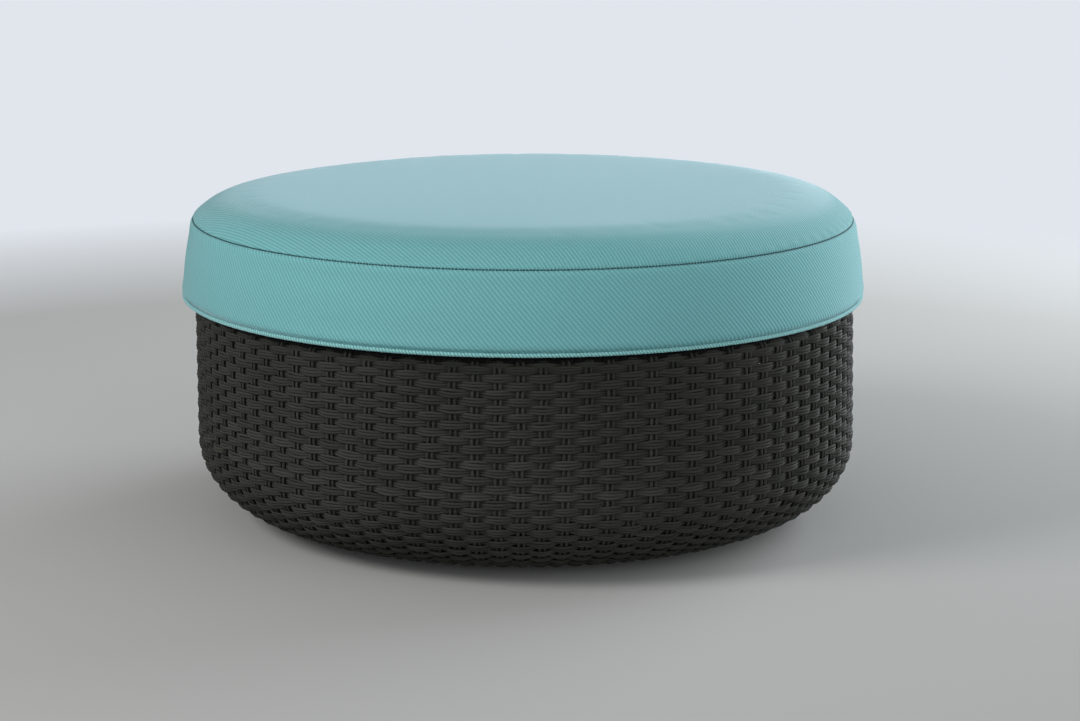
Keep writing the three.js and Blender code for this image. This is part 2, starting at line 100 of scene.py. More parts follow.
class WeaveSettings(bpy.types.PropertyGroup):
    base_radius: length("Base radius", "Outer radius of the woven wall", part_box("side_weave")[1].x)
    rim_height: length("Rim height", "Height of the rim's top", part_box("side_weave")[1].z)
    underside: length("Underside", "Height of the weave's underside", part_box("side_weave")[0].z)
    rim_round: length("Rim round", "Outer radius of the wrap round the top hoop", 0.0203)
    bend_top: length("Bend top", "Height at which the wall starts to bend inwards", 0.107)
    bend_reach: length("Bend reach", "How far the bend runs inwards", 0.121)
    lip_radius: length("Lip radius", "Radius of the base hoop's middle line", 0.3)
    lip_round: length("Lip round", "Outer radius of the wrap round the base hoop", 0.0183)
    stakes: IntProperty(name="Stakes", description="Upright bundles in the wall", default=100, min=24, step=2)
    row_pitch: length("Row pitch", "Distance between weaver rows along the outline", 0.0096)
    weaver_strands: IntProperty(name="Weaver strands", description="Strands in a weaver", default=3, min=1)
    weaver_width: length("Weaver width", "Width of one weaver strand", 0.0043)
    weaver_thickness: length("Weaver thickness", "Thickness of one weaver strand", 0.0029)
    weaver_swing: length("Weaver swing", "How far a weaver moves in and out of the wall's middle", 0.0032)
    stake_width: length("Stake width", "Width of one stake strand", 0.0045)
    stake_thickness: length("Stake thickness", "Thickness of one stake strand", 0.0034)
    stake_split: length("Stake split", "From a stake's middle line to the middle of each strand", 0.00315)
    out_of_round: length("Out of round", "How far the bowl bulges at the right, a third of the way down",
                         0.0075)
    wander: length("Wander", "How far a strand strays from its line", 0.0004)
    deck_pitch: length("Deck pitch", "Distance between the bundles of the deck", 0.0273)
    fibre: colour("Fibre", "Colour of the woven strands", "333430")
    fibre_pale: colour("Pale fibre", "Colour where a strand is rubbed pale", "4a4944")
    # Painted shade: a darker fibre colour put on each strand's hidden inner side in place of the shade there;
    # on the wrapped strands it is their paler tone.
    fibre_painted_shade: colour("Dark fibre", "Colour of a strand's hidden inner side", "222220")
    # Painted shadow: the strands wrapped round the rim and the lip are painted nearly black for the shade
    # under the cushion's overhang and under the base.
    rim_shadow_fibre: colour("Rim fibre", "Colour of the strands wrapped round the rim and the lip", "121211")


class CushionSettings(bpy.types.PropertyGroup):
    underside: length("Underside", "Height of the cushion's underside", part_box("cover_bottom")[0].z)
    seam_radius: length("Seam radius", "Radius of the top seam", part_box("cover_top")[1].x)
    seam_height: length("Seam height", "Height of the top seam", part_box("cover_top")[0].z)
    crown: length("Crown", "Rise of the top panel's middle over its seam",
                  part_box("cover_top")[1].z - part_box("cover_top")[0].z)
    crown_power: amount("Crown power", "How square the crown's shoulder is", 19, least=2)
    band_foot: length("Band foot", "Height at which the band meets the piping", 0.297)
    outer_radius: length("Outer radius", "Radius over the piping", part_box("piping")[1].x)
    piping: length("Piping", "Diameter of the piping", 0.005)
    seam_depth: length("Seam depth", "How far the top seam is drawn in", 0.0034)
    loft: length("Loft", "How far the filling presses the cover out between its seams", 0.0018)
    ease: amount("Ease", "Share by which the cover's cloth is cut larger than the filling", 0.004)
    sag: length("Sag", "How much lower the filling has settled at the left rear", 0.006)
    pucker: length("Pucker", "Height of the small waves along the seam", 0.0006)
    stitch_pitch: length("Stitch pitch", "Distance between stitches of the top seam", 0.004)
    top_rib: length("Top rib", "Pitch of the cloth's ribs on the top panel", 0.00435)
    band_rib: length("Band rib", "Pitch of the cloth's ribs on the band", 0.0046)
    cloth_light: colour("Light yarn", "Colour of the cloth's raised yarns", "83bdbe")
    cloth_deep: colour("Deep yarn", "Colour between the cloth's ribs", "66a4a5")
    piping_light: colour("Light piping", "Colour of the piping's raised yarns", "a5d8d7")
    piping_deep: colour("Deep piping", "Colour between the piping's ribs", "6aa5a3")
    thread: colour("Thread", "Colour of the seam's thread", "18474a")


class ZipSettings(bpy.types.PropertyGroup):
    height: length("Zip height", "Height of the zip's middle line", 0.3175)
    slot: length("Slot", "Height of the opening in the band", 0.015)
    half_turn: turn("Half arc", "Half of the zip's arc at the rear", 78)
    tooth_pitch: length("Tooth pitch", "Distance between the zip's teeth", 0.0019)
    tape: colour("Tape", "Colour of the zip's tape", "4a8685")
    tooth: colour("Tooth", "Colour of the zip's teeth", "3c7473")


class FrameSettings(bpy.types.PropertyGroup):
    coating: colour("Coating", "Powder coat on the aluminium frame", "2b2c2a")
    steel: colour("Steel", "Stainless steel of the screws and the zip's slider", "9b9ea1")
    nylon: colour("Nylon", "Moulded nylon of the glides", "1d1d1e")
    foam: colour("Foam", "Foam of the cushion's slab", "dedccf")
    fibre_fill: colour("Fibre fill", "Fibre filling over the foam", "f0f0ec")


class StageSettings(bpy.types.PropertyGroup):
    floor: colour("Floor", "Colour of the floor that the camera sees", "c0bfbc")
    floor_bounce: colour("Floor bounce", "Colour that the floor lends to the light", "898a89")
    backdrop: colour("Backdrop", "Colour far behind the object", "e1e6ed")
    backdrop_near: length("Backdrop near", "Distance at which the floor starts to fade away", 1.6)
    backdrop_far: length("Backdrop far", "Distance at which only the backdrop is left", 2.6)
    air: colour("Air", "Colour of the light from all round", "e9ecf0")
    level_air: amount("Level air", "Strength of the light from the walls", 1.28)
    upper_air: amount("Upper air", "Strength of the light from the ceiling", 0.18)
    air_lean: FloatVectorProperty(name="Air lean", size=2, default=(0.38, -0.62),
                                  description="How much stronger the light is from the right and the rear")
    key_power: power("Key lamp", "Power of the large lamp at the left", 64)
    top_power: power("Top lamp", "Power of the lamp overhead", 3)
    edge_power: power("Edge lamp", "Power of the lamp at the right rear", 250)
    lens: amount("Lens", "Focal length in millimetres", 86.67, least=1)
    camera_place: FloatVectorProperty(name="Camera place", description="Where the camera stands", size=3,
                                      default=(0.0228, -3.41, 0.919), subtype="TRANSLATION", unit="LENGTH")
    camera_pitch: turn("Camera pitch", "How far the camera looks down", 11.96)
    camera_roll: turn("Camera roll", "Turn of the camera about its view", 0.16)


SETTINGS = {
    "ottoman_weave": WeaveSettings,
    "ottoman_cushion": CushionSettings,
    "ottoman_zip": ZipSettings,
    "ottoman_frame": FrameSettings,
    "ottoman_stage": StageSettings,
}


# Materials


class Signal:
    """An output of a node. Arithmetic on one that is a number adds Math nodes to its tree."""

    def __init__(self, nodes, socket):
        self.nodes = nodes
        self.socket = socket

    def math(self, operation, *others):
        """The result of a Math node, with this number first and the others after it."""
        return self.nodes.node("Math", {"operation": operation}, dict(enumerate((self, *others))))

    def __add__(self, other):
        return self.math("ADD", other)

    __radd__ = __add__

    def __mul__(self, other):
        return self.math("MULTIPLY", other)

    __rmul__ = __mul__

    def __sub__(self, other):
        return self.math("SUBTRACT", other)

    def __rsub__(self, other):
        return self.nodes.node("Math", {"operation": "SUBTRACT"}, {0: other, 1: self})

    def __pow__(self, other):
        return self.math("POWER", other)

    def wave(self):
        """A raised sine with one turn for each whole number: it runs between 0 and 1."""
        return (self * math.tau).math("SINE") * 0.5 + 0.5

    def clamp(self, low, high):
        """Runs from 0 to 1 between low and high, and stays there beyond them."""
        return self.nodes.node("MapRange", {"clamp": True},
                               {"Value": self, "From Min": low, "From Max": high})


class Nodes:
    """A node tree: node() adds any node with its settings and the values or links of its sockets."""

    def __init__(self, tree):
        self.tree = tree

    def join(self, value, socket):
        """Sets a socket to a value or links it to an output."""
        if isinstance(value, Signal):
            self.tree.links.new(value.socket, socket)
        elif socket.type == "RGBA" and len(value) == 3:
            socket.default_value = (*value, 1)
        else:
            socket.default_value = value

    def node(self, kind, settings=None, inputs=None, output=0):
        made = self.tree.nodes.new(f"ShaderNode{kind}")
        for name, value in (settings or {}).items():
            setattr(made, name, value)
        for place, value in (inputs or {}).items():
            self.join(value, made.inputs[place])
        return Signal(self, made.outputs[output])

    def parts(self, vector):
        """The three numbers of a vector."""
        made = self.node("SeparateXYZ", inputs={0: vector}).socket.node
        return [Signal(self, socket) for socket in made.outputs]


class Finish(Nodes):
    """One material, on the shader that a new material has, with the shader's constant sockets."""

    def __init__(self, name, **constants):
        self.material = bpy.data.materials.new(name)
        self.material.use_nodes = True
        super().__init__(self.material.node_tree)
        self.shader = next(node for node in self.tree.nodes if node.type == "BSDF_PRINCIPLED")
        self.finish(**constants)

    def attribute(self, name):
        return self.node("Attribute", {"attribute_name": name}, output="Fac")

    def place(self):
        return self.node("TexCoord", output="Object")

    def joined(self, x, y, z):
        return self.node("CombineXYZ", inputs={0: x, 1: y, 2: z})

    def noise(self, vector, scale, detail=2, roughness=0.5):
        return self.node("TexNoise", inputs={"Vector": vector, "Scale": scale, "Detail": detail,
                                             "Roughness": roughness})

    def blend(self, share, first, second):
        """Colour that goes from the first to the second as the share goes from 0 to 1."""
        return self.node("Mix", {"data_type": "RGBA", "clamp_factor": True}, {0: share, 6: first, 7: second},
                         output=2)

    def bump(self, height, distance, strength):
        return self.node("Bump", inputs={"Height": height, "Distance": distance, "Strength": strength})

    def finish(self, **sockets):
        """Sets or links the shader's sockets, named with an underscore for each space."""
        for name, value in sockets.items():
            self.join(value, self.shader.inputs[name.replace("_", " ")])
        return self.material


def times(shade, factor):
    """A colour made darker or lighter."""
    return [part * factor for part in shade]


def fibre_material(name, shade, pale_shade, painted_inner_shade):
    """Extruded strand: tone set by strand, darker on its hidden inner side as painted shade, paler on its
    crest, grooves along its length.
    """
    finish = Finish(name, IOR=1.47, Specular_IOR_Level=0.055)
    grooves_along, grooves_across, groove_offset = 40, 5, 37
    ridge_radians_per_metre = 900
    tone = finish.attribute("tone")
    height = finish.attribute("round")
    along = finish.attribute("along")
    spot = finish.joined(along * grooves_along, height * grooves_across, tone * groove_offset)
    grooves = finish.noise(spot, scale=1, roughness=0.6)
    blotch = finish.noise(finish.place(), scale=9, detail=3)
    crest = height.clamp(-0.35, 0.9)
    # Painted shade: from the crest to the inner side the strand takes the darker colour, in place of the
    # shade that falls there.
    paint = finish.blend(crest, painted_inner_shade, shade)
    rubbed = tone * 0.5 + 0.5 + (blotch - 0.5) * 0.9 + (grooves - 0.5) * 0.7
    paint = finish.blend(rubbed.clamp(0.1, 1.5) * crest, paint, pale_shade)
    ridges = (along * ridge_radians_per_metre + grooves * 3).math("SINE")
    relief = grooves * 0.6 + ridges * 0.06
    return finish.finish(Base_Color=paint, Roughness=0.56 + grooves * 0.22 - tone * 0.04,
                         Normal=finish.bump(relief, distance=0.00035, strength=0.7))


def cloth_material(name, light, deep):
    """Diagonal rib cloth: the piece's map counts ribs across and metres along them, and each rib is a row
    of short raised yarns, set off from row to row. Sitting has made the ribs flatter on the cushion's top,
    from the height where its crown levels off, and there the colour is painted darker as painted shade."""
    finish = Finish(name, Sheen_Weight=0.48, Sheen_Roughness=0.33, Sheen_Tint=(0.84, 0.9, 1.0),
                    Specular_IOR_Level=0.2)
    level_from, level_to = 0.416, 0.426
    yarns_per_metre, yarn_offset = 300, 0.37
    across, along, _ = finish.parts(finish.node("UVMap", {"uv_map": "cloth"}))
    drift = finish.noise(finish.place(), scale=24) - 0.5
    ribs = (across + drift * 0.10).wave()
    yarns = (along * yarns_per_metre + across.math("FLOOR") * yarn_offset + drift * 0.2).wave()
    soft = finish.noise(finish.place(), scale=6, detail=3) - 0.5
    fuzz = finish.noise(finish.place(), scale=1400) - 0.5
    height = ribs * (0.55 + yarns * 0.45)
    share = (height + fuzz * 0.3 + soft * 0.12).clamp(0.1, 0.95)
    pressed_and_shaded_top = finish.parts(finish.place())[2].clamp(level_from, level_to)
    # Painted shade: on the flat top the colour moves towards the deep yarn, darkening it where the light and
    # sheen fall strongest; the ribs' bump is flattened there too.
    paint = finish.blend(share * (1 - pressed_and_shaded_top * 0.35), deep, light)
    relief = (height + fuzz * 0.05) * (1 - pressed_and_shaded_top * 0.6)
    return finish.finish(Base_Color=paint, Roughness=0.86 + fuzz * 0.12,
                         Normal=finish.bump(relief, distance=0.0008, strength=0.8))


def thread_material(name, shade):
    """Twisted sewing thread: fine diagonal turns along each stitch."""
    finish = Finish(name, Sheen_Weight=0.15, Sheen_Roughness=0.4)
    turns_per_metre = 1400
    twist = (finish.attribute("along") * turns_per_metre + finish.attribute("round") * 0.5).wave()
    paint = finish.blend(twist * 0.5, shade, times(shade, 1.7))
    return finish.finish(Base_Color=paint, Roughness=0.7 - twist * 0.1,
                         Normal=finish.bump(twist, distance=0.0002, strength=0.6))


def coated_material(name, shade):
    """Powder coat: fine orange-peel grain with a slight mottle."""
    finish = Finish(name, Metallic=0.0, Coat_Weight=0.15, Coat_Roughness=0.35)
    peel = finish.noise(finish.place(), scale=900)
    mottle = finish.noise(finish.place(), scale=25, detail=3)
    paint = finish.blend(mottle.clamp(0.3, 0.8) * 0.5, shade, times(shade, 1.6))
    return finish.finish(Base_Color=paint, Roughness=0.42 + peel * 0.16,
                         Normal=finish.bump(peel, distance=0.00012, strength=0.5))


def steel_material(name, shade):
    """Brushed stainless steel: fine scratches round the part and small changes of gloss."""
    finish = Finish(name, Metallic=1.0)
    round_part, up_part = 160, 5200
    x, y, z = finish.parts(finish.place())
    spot = finish.joined(x * round_part, y * round_part, z * up_part)
    scratches = finish.noise(spot, scale=1, detail=3, roughness=0.65)
    smudge = finish.noise(finish.place(), scale=130)
    paint = finish.blend(smudge * 0.35, shade, times(shade, 0.6))
    return finish.finish(Base_Color=paint, Roughness=0.24 + scratches * 0.16 + smudge * 0.1,
                         Normal=finish.bump(scratches, distance=0.00005, strength=0.5))


def nylon_material(name, shade):
    """Moulded nylon: a faint spark-eroded grain, scuffed paler near the floor."""
    finish = Finish(name)
    scuff_height = 0.0035
    grain = finish.noise(finish.place(), scale=1500)
    scuff = finish.noise(finish.place(), scale=170, detail=4, roughness=0.7)
    height = finish.parts(finish.place())[2]
    worn = (1 - height.clamp(0.0, scuff_height)) * scuff.clamp(0.45, 0.75)
    paint = finish.blend(worn * 0.7, shade, [part * 6 + 0.02 for part in shade])
    return finish.finish(Base_Color=paint, Roughness=0.48 + grain * 0.12 + worn * 0.25,
                         Normal=finish.bump(grain + worn * scuff, distance=0.0001, strength=0.5))


def foam_material(name, shade):
    """Open-cell foam: round pores of a millimetre or so."""
    finish = Finish(name)
    cells = finish.node("TexVoronoi", inputs={"Vector": finish.place(), "Scale": 520.0})
    tone = finish.noise(finish.place(), scale=12)
    paint = finish.blend(cells.clamp(0.15, 0.55) * (0.8 + tone * 0.4), times(shade, 0.55), shade)
    return finish.finish(Base_Color=paint, Roughness=0.95,
                         Normal=finish.bump(cells, distance=0.0006, strength=0.8))


def fill_material(name, shade):
    """Fibre filling: matted fine hairs that run every way."""
    finish = Finish(name, Sheen_Weight=0.4, Sheen_Roughness=0.5)
    hairs = finish.noise(finish.place(), scale=420, detail=6, roughness=0.75)
    clumps = finish.noise(finish.place(), scale=30, detail=3)
    paint = finish.blend(hairs.clamp(0.3, 0.7), times(shade, 0.72), shade)
    return finish.finish(Base_Color=paint, Roughness=0.97,
                         Normal=finish.bump(hairs + clumps, distance=0.001, strength=0.7))


def tape_material(name, shade):
    """Zip tape: a fine herringbone whose rows change lean every 1.5 mm."""
    finish = Finish(name, Sheen_Weight=0.15)
    row_pairs_per_metre, yarns_per_metre = 333, 900
    along, up, _ = finish.parts(finish.node("UVMap", {"uv_map": "cloth"}))
    lean = (up * row_pairs_per_metre).math("PINGPONG", 0.5) * 2
    weave = (along * yarns_per_metre + lean).wave()
    paint = finish.blend(weave * 0.6, times(shade, 0.6), shade)
    return finish.finish(Base_Color=paint, Roughness=0.85 - weave * 0.05,
                         Normal=finish.bump(weave, distance=0.0002, strength=0.7))


def tooth_material(name, shade):
    """Nylon monofilament of the zip's coil: smooth, with faint streaks."""
    finish = Finish(name, Coat_Weight=0.1, Coat_Roughness=0.3)
    streaks = finish.noise(finish.place(), scale=700)
    paint = finish.blend(streaks * 0.5, shade, times(shade, 1.5))
    return finish.finish(Base_Color=paint, Roughness=0.35 + streaks * 0.15,
                         Normal=finish.bump(streaks, distance=0.00008, strength=0.4))


# Meshes


def surface(name, points, faces, material, values=None, uvs=None):
    """A smooth mesh from an array of points and arrays of faces, one array for each number of corners. values
    are numbers at the points, and uvs are two numbers at each face corner, in the order of the faces."""
    mesh = bpy.data.meshes.new(name)
    corners = np.concatenate([part.ravel() for part in faces])
    totals = np.concatenate([np.full(len(part), part.shape[1]) for part in faces])
    mesh.vertices.add(len(points))
    mesh.vertices.foreach_set("co", points.astype(np.float32).ravel())
    mesh.loops.add(len(corners))
    mesh.loops.foreach_set("vertex_index", corners.astype(np.int32))
    mesh.polygons.add(len(totals))
    mesh.polygons.foreach_set("loop_start", (np.cumsum(totals) - totals).astype(np.int32))
    mesh.update(calc_edges=True)
    mesh.polygons.foreach_set("use_smooth", np.ones(len(totals), bool))
    for key, numbers in (values or {}).items():
        layer = mesh.attributes.new(key, "FLOAT", "POINT")
        layer.data.foreach_set("value", np.asarray(numbers, np.float32).ravel())
    if uvs is not None:
        mesh.uv_layers.new(name="cloth").data.foreach_set("uv", np.asarray(uvs, np.float32).ravel())
    if mesh.validate():
        raise RuntimeError(f"{name} has broken faces")
    mesh.materials.append(material)
    piece = bpy.data.objects.new(name, mesh)
    bpy.context.scene.collection.objects.link(piece)
    return piece


def spin(radius, height, angle):
    """Points at a radius and height, turned from the front towards +X."""
    radius, height, angle = np.broadcast_arrays(radius, height, angle)
    return np.stack([radius * np.sin(angle), -radius * np.cos(angle), height], -1)


def way_round(angle):
    """Unit vectors that lead round the ottoman, from the front towards +X."""
    return np.stack([np.cos(angle), np.sin(angle), np.zeros_like(angle)], -1)


def loop_faces(here, ahead, backwards=False):
    """Faces with four corners, from each side of a closed loop of points to the same side of the loop
    ahead. backwards turns them over, and keeps the corner that they start from."""
    faces = np.stack([here, np.roll(here, -1, -1), np.roll(ahead, -1, -1), ahead], -1).reshape(-1, 4)
    return faces[:, [0, 3, 2, 1]] if backwards else faces


def closed_round(rows, columns):
    """Faces of rows of points turned right round and closed by a pole at each end, the last two points."""
    index = np.arange(rows * columns).reshape(rows, columns)
    after = np.roll(index, -1, 1)
    low_pole, high_pole = (np.full(columns, rows * columns + place) for place in (0, 1))
    fans = np.concatenate([np.stack([after[0], index[0], low_pole], -1),
                           np.stack([index[-1], after[-1], high_pole], -1)])
    return loop_faces(index[:-1], index[1:]), fans


def strands(name, centre, side, out, width, thickness, tone, material, sides=5, closed=False):
    """Strands in one mesh: an ellipse, width by thickness, carried along each row of centre points with its
    axes along side and out. Closed strands join end to start, and open ones end in a flat face."""
    count, steps = centre.shape[:2]
    corner = (np.arange(sides) + 0.5) * math.tau / sides
    wide = np.broadcast_to(width, (count, steps))[..., None, None] / 2
    thick = np.broadcast_to(thickness, (count, steps))[..., None, None] / 2
    points = centre[:, :, None] + side[:, :, None] * np.cos(corner)[:, None] * wide
    points = points + out[:, :, None] * np.sin(corner)[:, None] * thick
    index = np.arange(count * steps * sides).reshape(count, steps, sides)
    here, ahead = (index, np.roll(index, -1, 1)) if closed else (index[:, :-1], index[:, 1:])
    quads = loop_faces(here, ahead)
    caps = np.concatenate([index[:, 0, ::-1], index[:, -1]])
    travel = centre[0, 1] - centre[0, 0]
    if np.dot(np.cross(side[0, 0], out[0, 0]), travel) < 0:
        quads, caps = quads[:, ::-1], caps[:, ::-1]
    run = np.linalg.norm(np.diff(centre, axis=1, prepend=centre[:, :1]), axis=-1).cumsum(1)
    shape = (count, steps, sides)
    values = {
        "tone": np.broadcast_to(np.asarray(tone)[:, None, None], shape),
        "along": np.broadcast_to(run[..., None], shape),
        "round": np.broadcast_to(np.sin(corner), shape),
    }
    faces = [quads] if closed else [quads, caps]
    return surface(name, points.reshape(-1, 3), faces, material, values)


def strand_tones(chance, count, middle=0.0):
    """How pale each strand of fibre is, from -1 to 1."""
    return chance.normal(middle, 0.45, count).clip(-1, 1)


def strays(chance, count, angle, harmonics, size):
    """Slow random waves, one row for each strand: a sum of whole numbers of turns, so that rings close."""
    waves = 7
    turns = chance.integers(2, harmonics, (count, waves))
    phase = chance.uniform(0, math.tau, (count, waves))
    weight = chance.normal(0, size / 2, (count, waves))
    return (weight[:, :, None] * np.cos(turns[:, :, None] * angle + phase[:, :, None])).sum(1)


# Woven base


class SkinOutline:
    """Outer outline of the woven skin: a half circle round the top hoop, the straight wall, a quarter of an
    ellipse for the bend, the flat underside and a half circle round the base hoop, with the direction that
    faces out. Lengths along it count from the top of the wall, and run downwards."""

    # The bulge at the right, as shares of how far the bowl is out of round
    bulge_at_rim = 0.6
    bulge_gain = 1.1
    bulge_loss = 0.55
    bulge_loss_power = 12

    def __init__(self, weave):
        self.out_of_round = weave.out_of_round
        self.rim_centre = (weave.base_radius - weave.rim_round, weave.rim_height - weave.rim_round)
        self.lip_centre = (weave.lip_radius, weave.underside + weave.lip_round)
        bend_middle = weave.base_radius - weave.bend_reach
        drop = weave.bend_top - weave.underside
        rim = np.linspace(math.pi, 0, 241)
        wall = np.linspace(self.rim_centre[1], weave.bend_top, 61)[1:]
        bend = np.linspace(0, math.pi / 2, 181)[1:]
        under = np.linspace(bend_middle, weave.lip_radius, 13)[1:]
        lip = np.linspace(-math.pi / 2, -1.5 * math.pi, 181)[1:]
        parts = [
            self.arc(self.rim_centre, weave.rim_round, rim),
            (np.full_like(wall, weave.base_radius), wall, np.ones_like(wall), np.zeros_like(wall)),
            (bend_middle + weave.bend_reach * np.cos(bend), weave.bend_top - drop * np.sin(bend),
             drop * np.cos(bend), -weave.bend_reach * np.sin(bend)),
            (under, np.full_like(under, weave.underside), np.zeros_like(under), -np.ones_like(under)),
            self.arc(self.lip_centre, weave.lip_round, lip),
        ]
        self.radius, self.height, out_x, out_z = (np.concatenate(group) for group in zip(*parts))
        size = np.hypot(out_x, out_z)
        self.out_x, self.out_z = out_x / size, out_z / size
        step = np.hypot(np.diff(self.radius, prepend=self.radius[0]),
                        np.diff(self.height, prepend=self.height[0]))
        self.run = np.cumsum(step) - math.pi * weave.rim_round
        self.bend_end = self.run[len(rim) + len(wall) + len(bend) - 1]

    @staticmethod
    def arc(centre, size, turned):
        """Radius and height of a circle's points, and the direction that faces out of it."""
        return (centre[0] + size * np.cos(turned), centre[1] + size * np.sin(turned),
                np.cos(turned), np.sin(turned))

    def at(self, run, depth, angle):
        """Place at a length along the outline, a depth under it and an angle round it, with the unit
        vectors down the outline, out of it and round the base. The bowl bulges at the right, by a squared
        sine of the angle: the bulge grows evenly on the way down and falls off steeply at the bend's end."""
        run, depth, angle = np.broadcast_arrays(run, depth, angle)
        radius, height, out_x, out_z = (np.interp(run, self.run, row)
                                        for row in (self.radius, self.height, self.out_x, self.out_z))
        low = np.clip(run / self.bend_end, 0, 1.05)
        bulge = self.bulge_at_rim + self.bulge_gain * low
        bulge = bulge * (1 - self.bulge_loss * low ** self.bulge_loss_power)
        radius = radius + self.out_of_round * bulge * np.clip(np.sin(angle), 0, 1) ** 2
        out = spin(out_x, out_z, angle)
        down = spin(out_z, -out_x, angle)
        return spin(radius - depth * out_x, height - depth * out_z, angle), down, out, way_round(angle)


def crossing(column_share, row):
    """How far a weaver is out at a place: a cosine, 1 over a stake and -1 behind it, flattened at both."""
    flatter = 0.22
    swing = np.cos(math.pi * (column_share + row))
    return swing * (1 + flatter - flatter * swing ** 2)


def weave_rows(weave, outline, material):
    """Weavers: three strands each, carried round the base, out over one stake and in behind the next, with
    neighbouring rows set off by one stake. Over a stake the bundle swells, its middle strand lies highest and
    a stake knocks it a little up or down. The first row, above the wall, lies deeper, behind the wrap."""
    chance = np.random.default_rng(7)
    meshes = 5
    points_per_stake = 5
    swell = 0.2
    own_wander, knock, furthest = 0.7 * weave.wander, 0.8 * weave.wander, 1.35 * weave.wander
    edge_drop, behind_rim = 0.00055, 0.0018
    shallowest = weave.weaver_thickness * 0.4
    first = -1
    count = int(round(outline.bend_end / weave.row_pitch)) + 1 - first
    rows = np.repeat(np.arange(count) + first, weave.weaver_strands)
    strand = np.tile(np.arange(weave.weaver_strands) - (weave.weaver_strands - 1) / 2, count)
    steps = weave.stakes * points_per_stake
    angle = np.arange(steps) * math.tau / steps
    over = crossing(np.arange(steps) / points_per_stake, rows[:, None])
    lift = np.maximum(over, 0)
    pitch = weave.row_pitch / weave.weaver_strands
    spread = strand[:, None] * pitch * (1 + swell * lift)
    bundle = strays(chance, count, angle, harmonics=60, size=weave.wander)
    bundle = np.repeat(bundle, weave.weaver_strands, 0)
    each = strays(chance, len(rows), angle, harmonics=90, size=own_wander)
    knocks = np.repeat(chance.normal(0, knock, (count, weave.stakes)), points_per_stake, 1)
    reach = points_per_stake // 2
    knocks = sum(np.roll(knocks, shift, 1) for shift in range(-reach, reach + 1)) / points_per_stake
    knocks = np.repeat(knocks, weave.weaver_strands, 0)
    astray = np.clip(bundle + each + knocks * lift, -furthest, furthest)
    run = rows[:, None] * weave.row_pitch + spread + astray
    depth = weave.weaver_thickness / 2 + weave.weaver_swing * (1 - over)
    depth = depth + np.abs(strand[:, None]) * edge_drop * lift + np.abs(each) * 0.5
    depth = depth + behind_rim * (rows < 0)[:, None]
    centre, down, out, _ = outline.at(run, np.maximum(depth, shallowest), angle)
    width = weave.weaver_width * chance.normal(1, 0.05, (len(rows), 1))
    tone = strand_tones(chance, len(rows))
    pieces = []
    for number, group in enumerate(np.array_split(np.arange(count), meshes), 1):
        pick = np.isin(rows - first, group)
        pieces.append(strands(f"weavers_{number}", centre[pick], down[pick], out[pick], width[pick],
                              weave.weaver_thickness, tone[pick], material, sides=6, closed=True))
    return pieces


def weave_stakes(weave, outline, material):
    """Stakes: two strands side by side, carried down the wall and round the bend to the lip, pushed in by the
    weavers that pass over them and out by those behind. They close up as the bend runs inwards."""
    chance = np.random.default_rng(11)
    meshes = 2
    under_rim = 0.75 * weave.rim_round
    under_base = 0.02
    closest = weave.stake_width * 0.53
    push = 0.0006
    radians_per_metre = 18
    run = np.arange(-under_rim, outline.bend_end + under_base, weave.row_pitch / 4)
    column = np.repeat(np.arange(weave.stakes), 2)
    side_of = np.tile([-1, 1], weave.stakes)
    radius = np.interp(run, outline.run, outline.radius)
    split = np.maximum(weave.stake_split * (radius / weave.base_radius), closest)
    waves = run * radians_per_metre
    each = strays(chance, len(column), waves, harmonics=7, size=weave.wander * 0.6)
    both = np.repeat(strays(chance, weave.stakes, waves, harmonics=6, size=weave.wander * 1.2), 2, 0)
    sideways = side_of[:, None] * split + each + both
    angle = column[:, None] * math.tau / weave.stakes + sideways / radius
    over = np.cos(math.pi * (run / weave.row_pitch + column[:, None]))
    depth = weave.weaver_thickness / 2 + weave.weaver_swing + push * over
    centre, _, out, about = outline.at(run, depth, angle)
    tone = strand_tones(chance, len(column), -0.1)
    width = weave.stake_width * chance.normal(1, 0.04, (len(column), 1))
    pieces = []
    for number, pick in enumerate(np.array_split(np.arange(len(column)), meshes), 1):
        pieces.append(strands(f"stakes_{number}", centre[pick], about[pick], out[pick], width[pick],
                              weave.stake_thickness, tone[pick], material, sides=6))
    return pieces


def wrap(name, weave, centre, size, material, arc, slant, count, skip=None):
    """Strands wound slantwise round a hoop: arcs about the hoop's middle line that move round the base as
    they turn, with their ends tucked under by an exponential. arc holds the degrees at which they start and
    end, and skip tells from the angles at which strands start which are left out."""
    chance = np.random.default_rng(8)
    sunk, tuck_depth, tuck_rate = 0.0008, 0.0022, 9
    uneven_spacing, uneven_depth = 0.08, 0.00012
    share = np.linspace(0, 1, 13)
    start, end = (math.radians(degrees) for degrees in arc)
    turned = start + (end - start) * share
    first = (np.arange(count) + chance.normal(0, uneven_spacing, count)) * math.tau / count
    if skip:
        first = first[~skip(first)]
    angle = first[:, None] + slant * share
    tuck = tuck_depth * (np.exp(-share * tuck_rate) + np.exp(-(1 - share) * tuck_rate))
    tuck = tuck + chance.normal(0, uneven_depth, (len(first), 1))
    level = size - weave.weaver_thickness / 2 - sunk - tuck
    points = spin(centre[0] + level * np.cos(turned), centre[1] + level * np.sin(turned), angle)
    out = spin(np.cos(turned), np.sin(turned), angle)
    return strands(name, points, way_round(angle), out, weave.weaver_width, weave.weaver_thickness,
                   strand_tones(chance, len(first)), material)


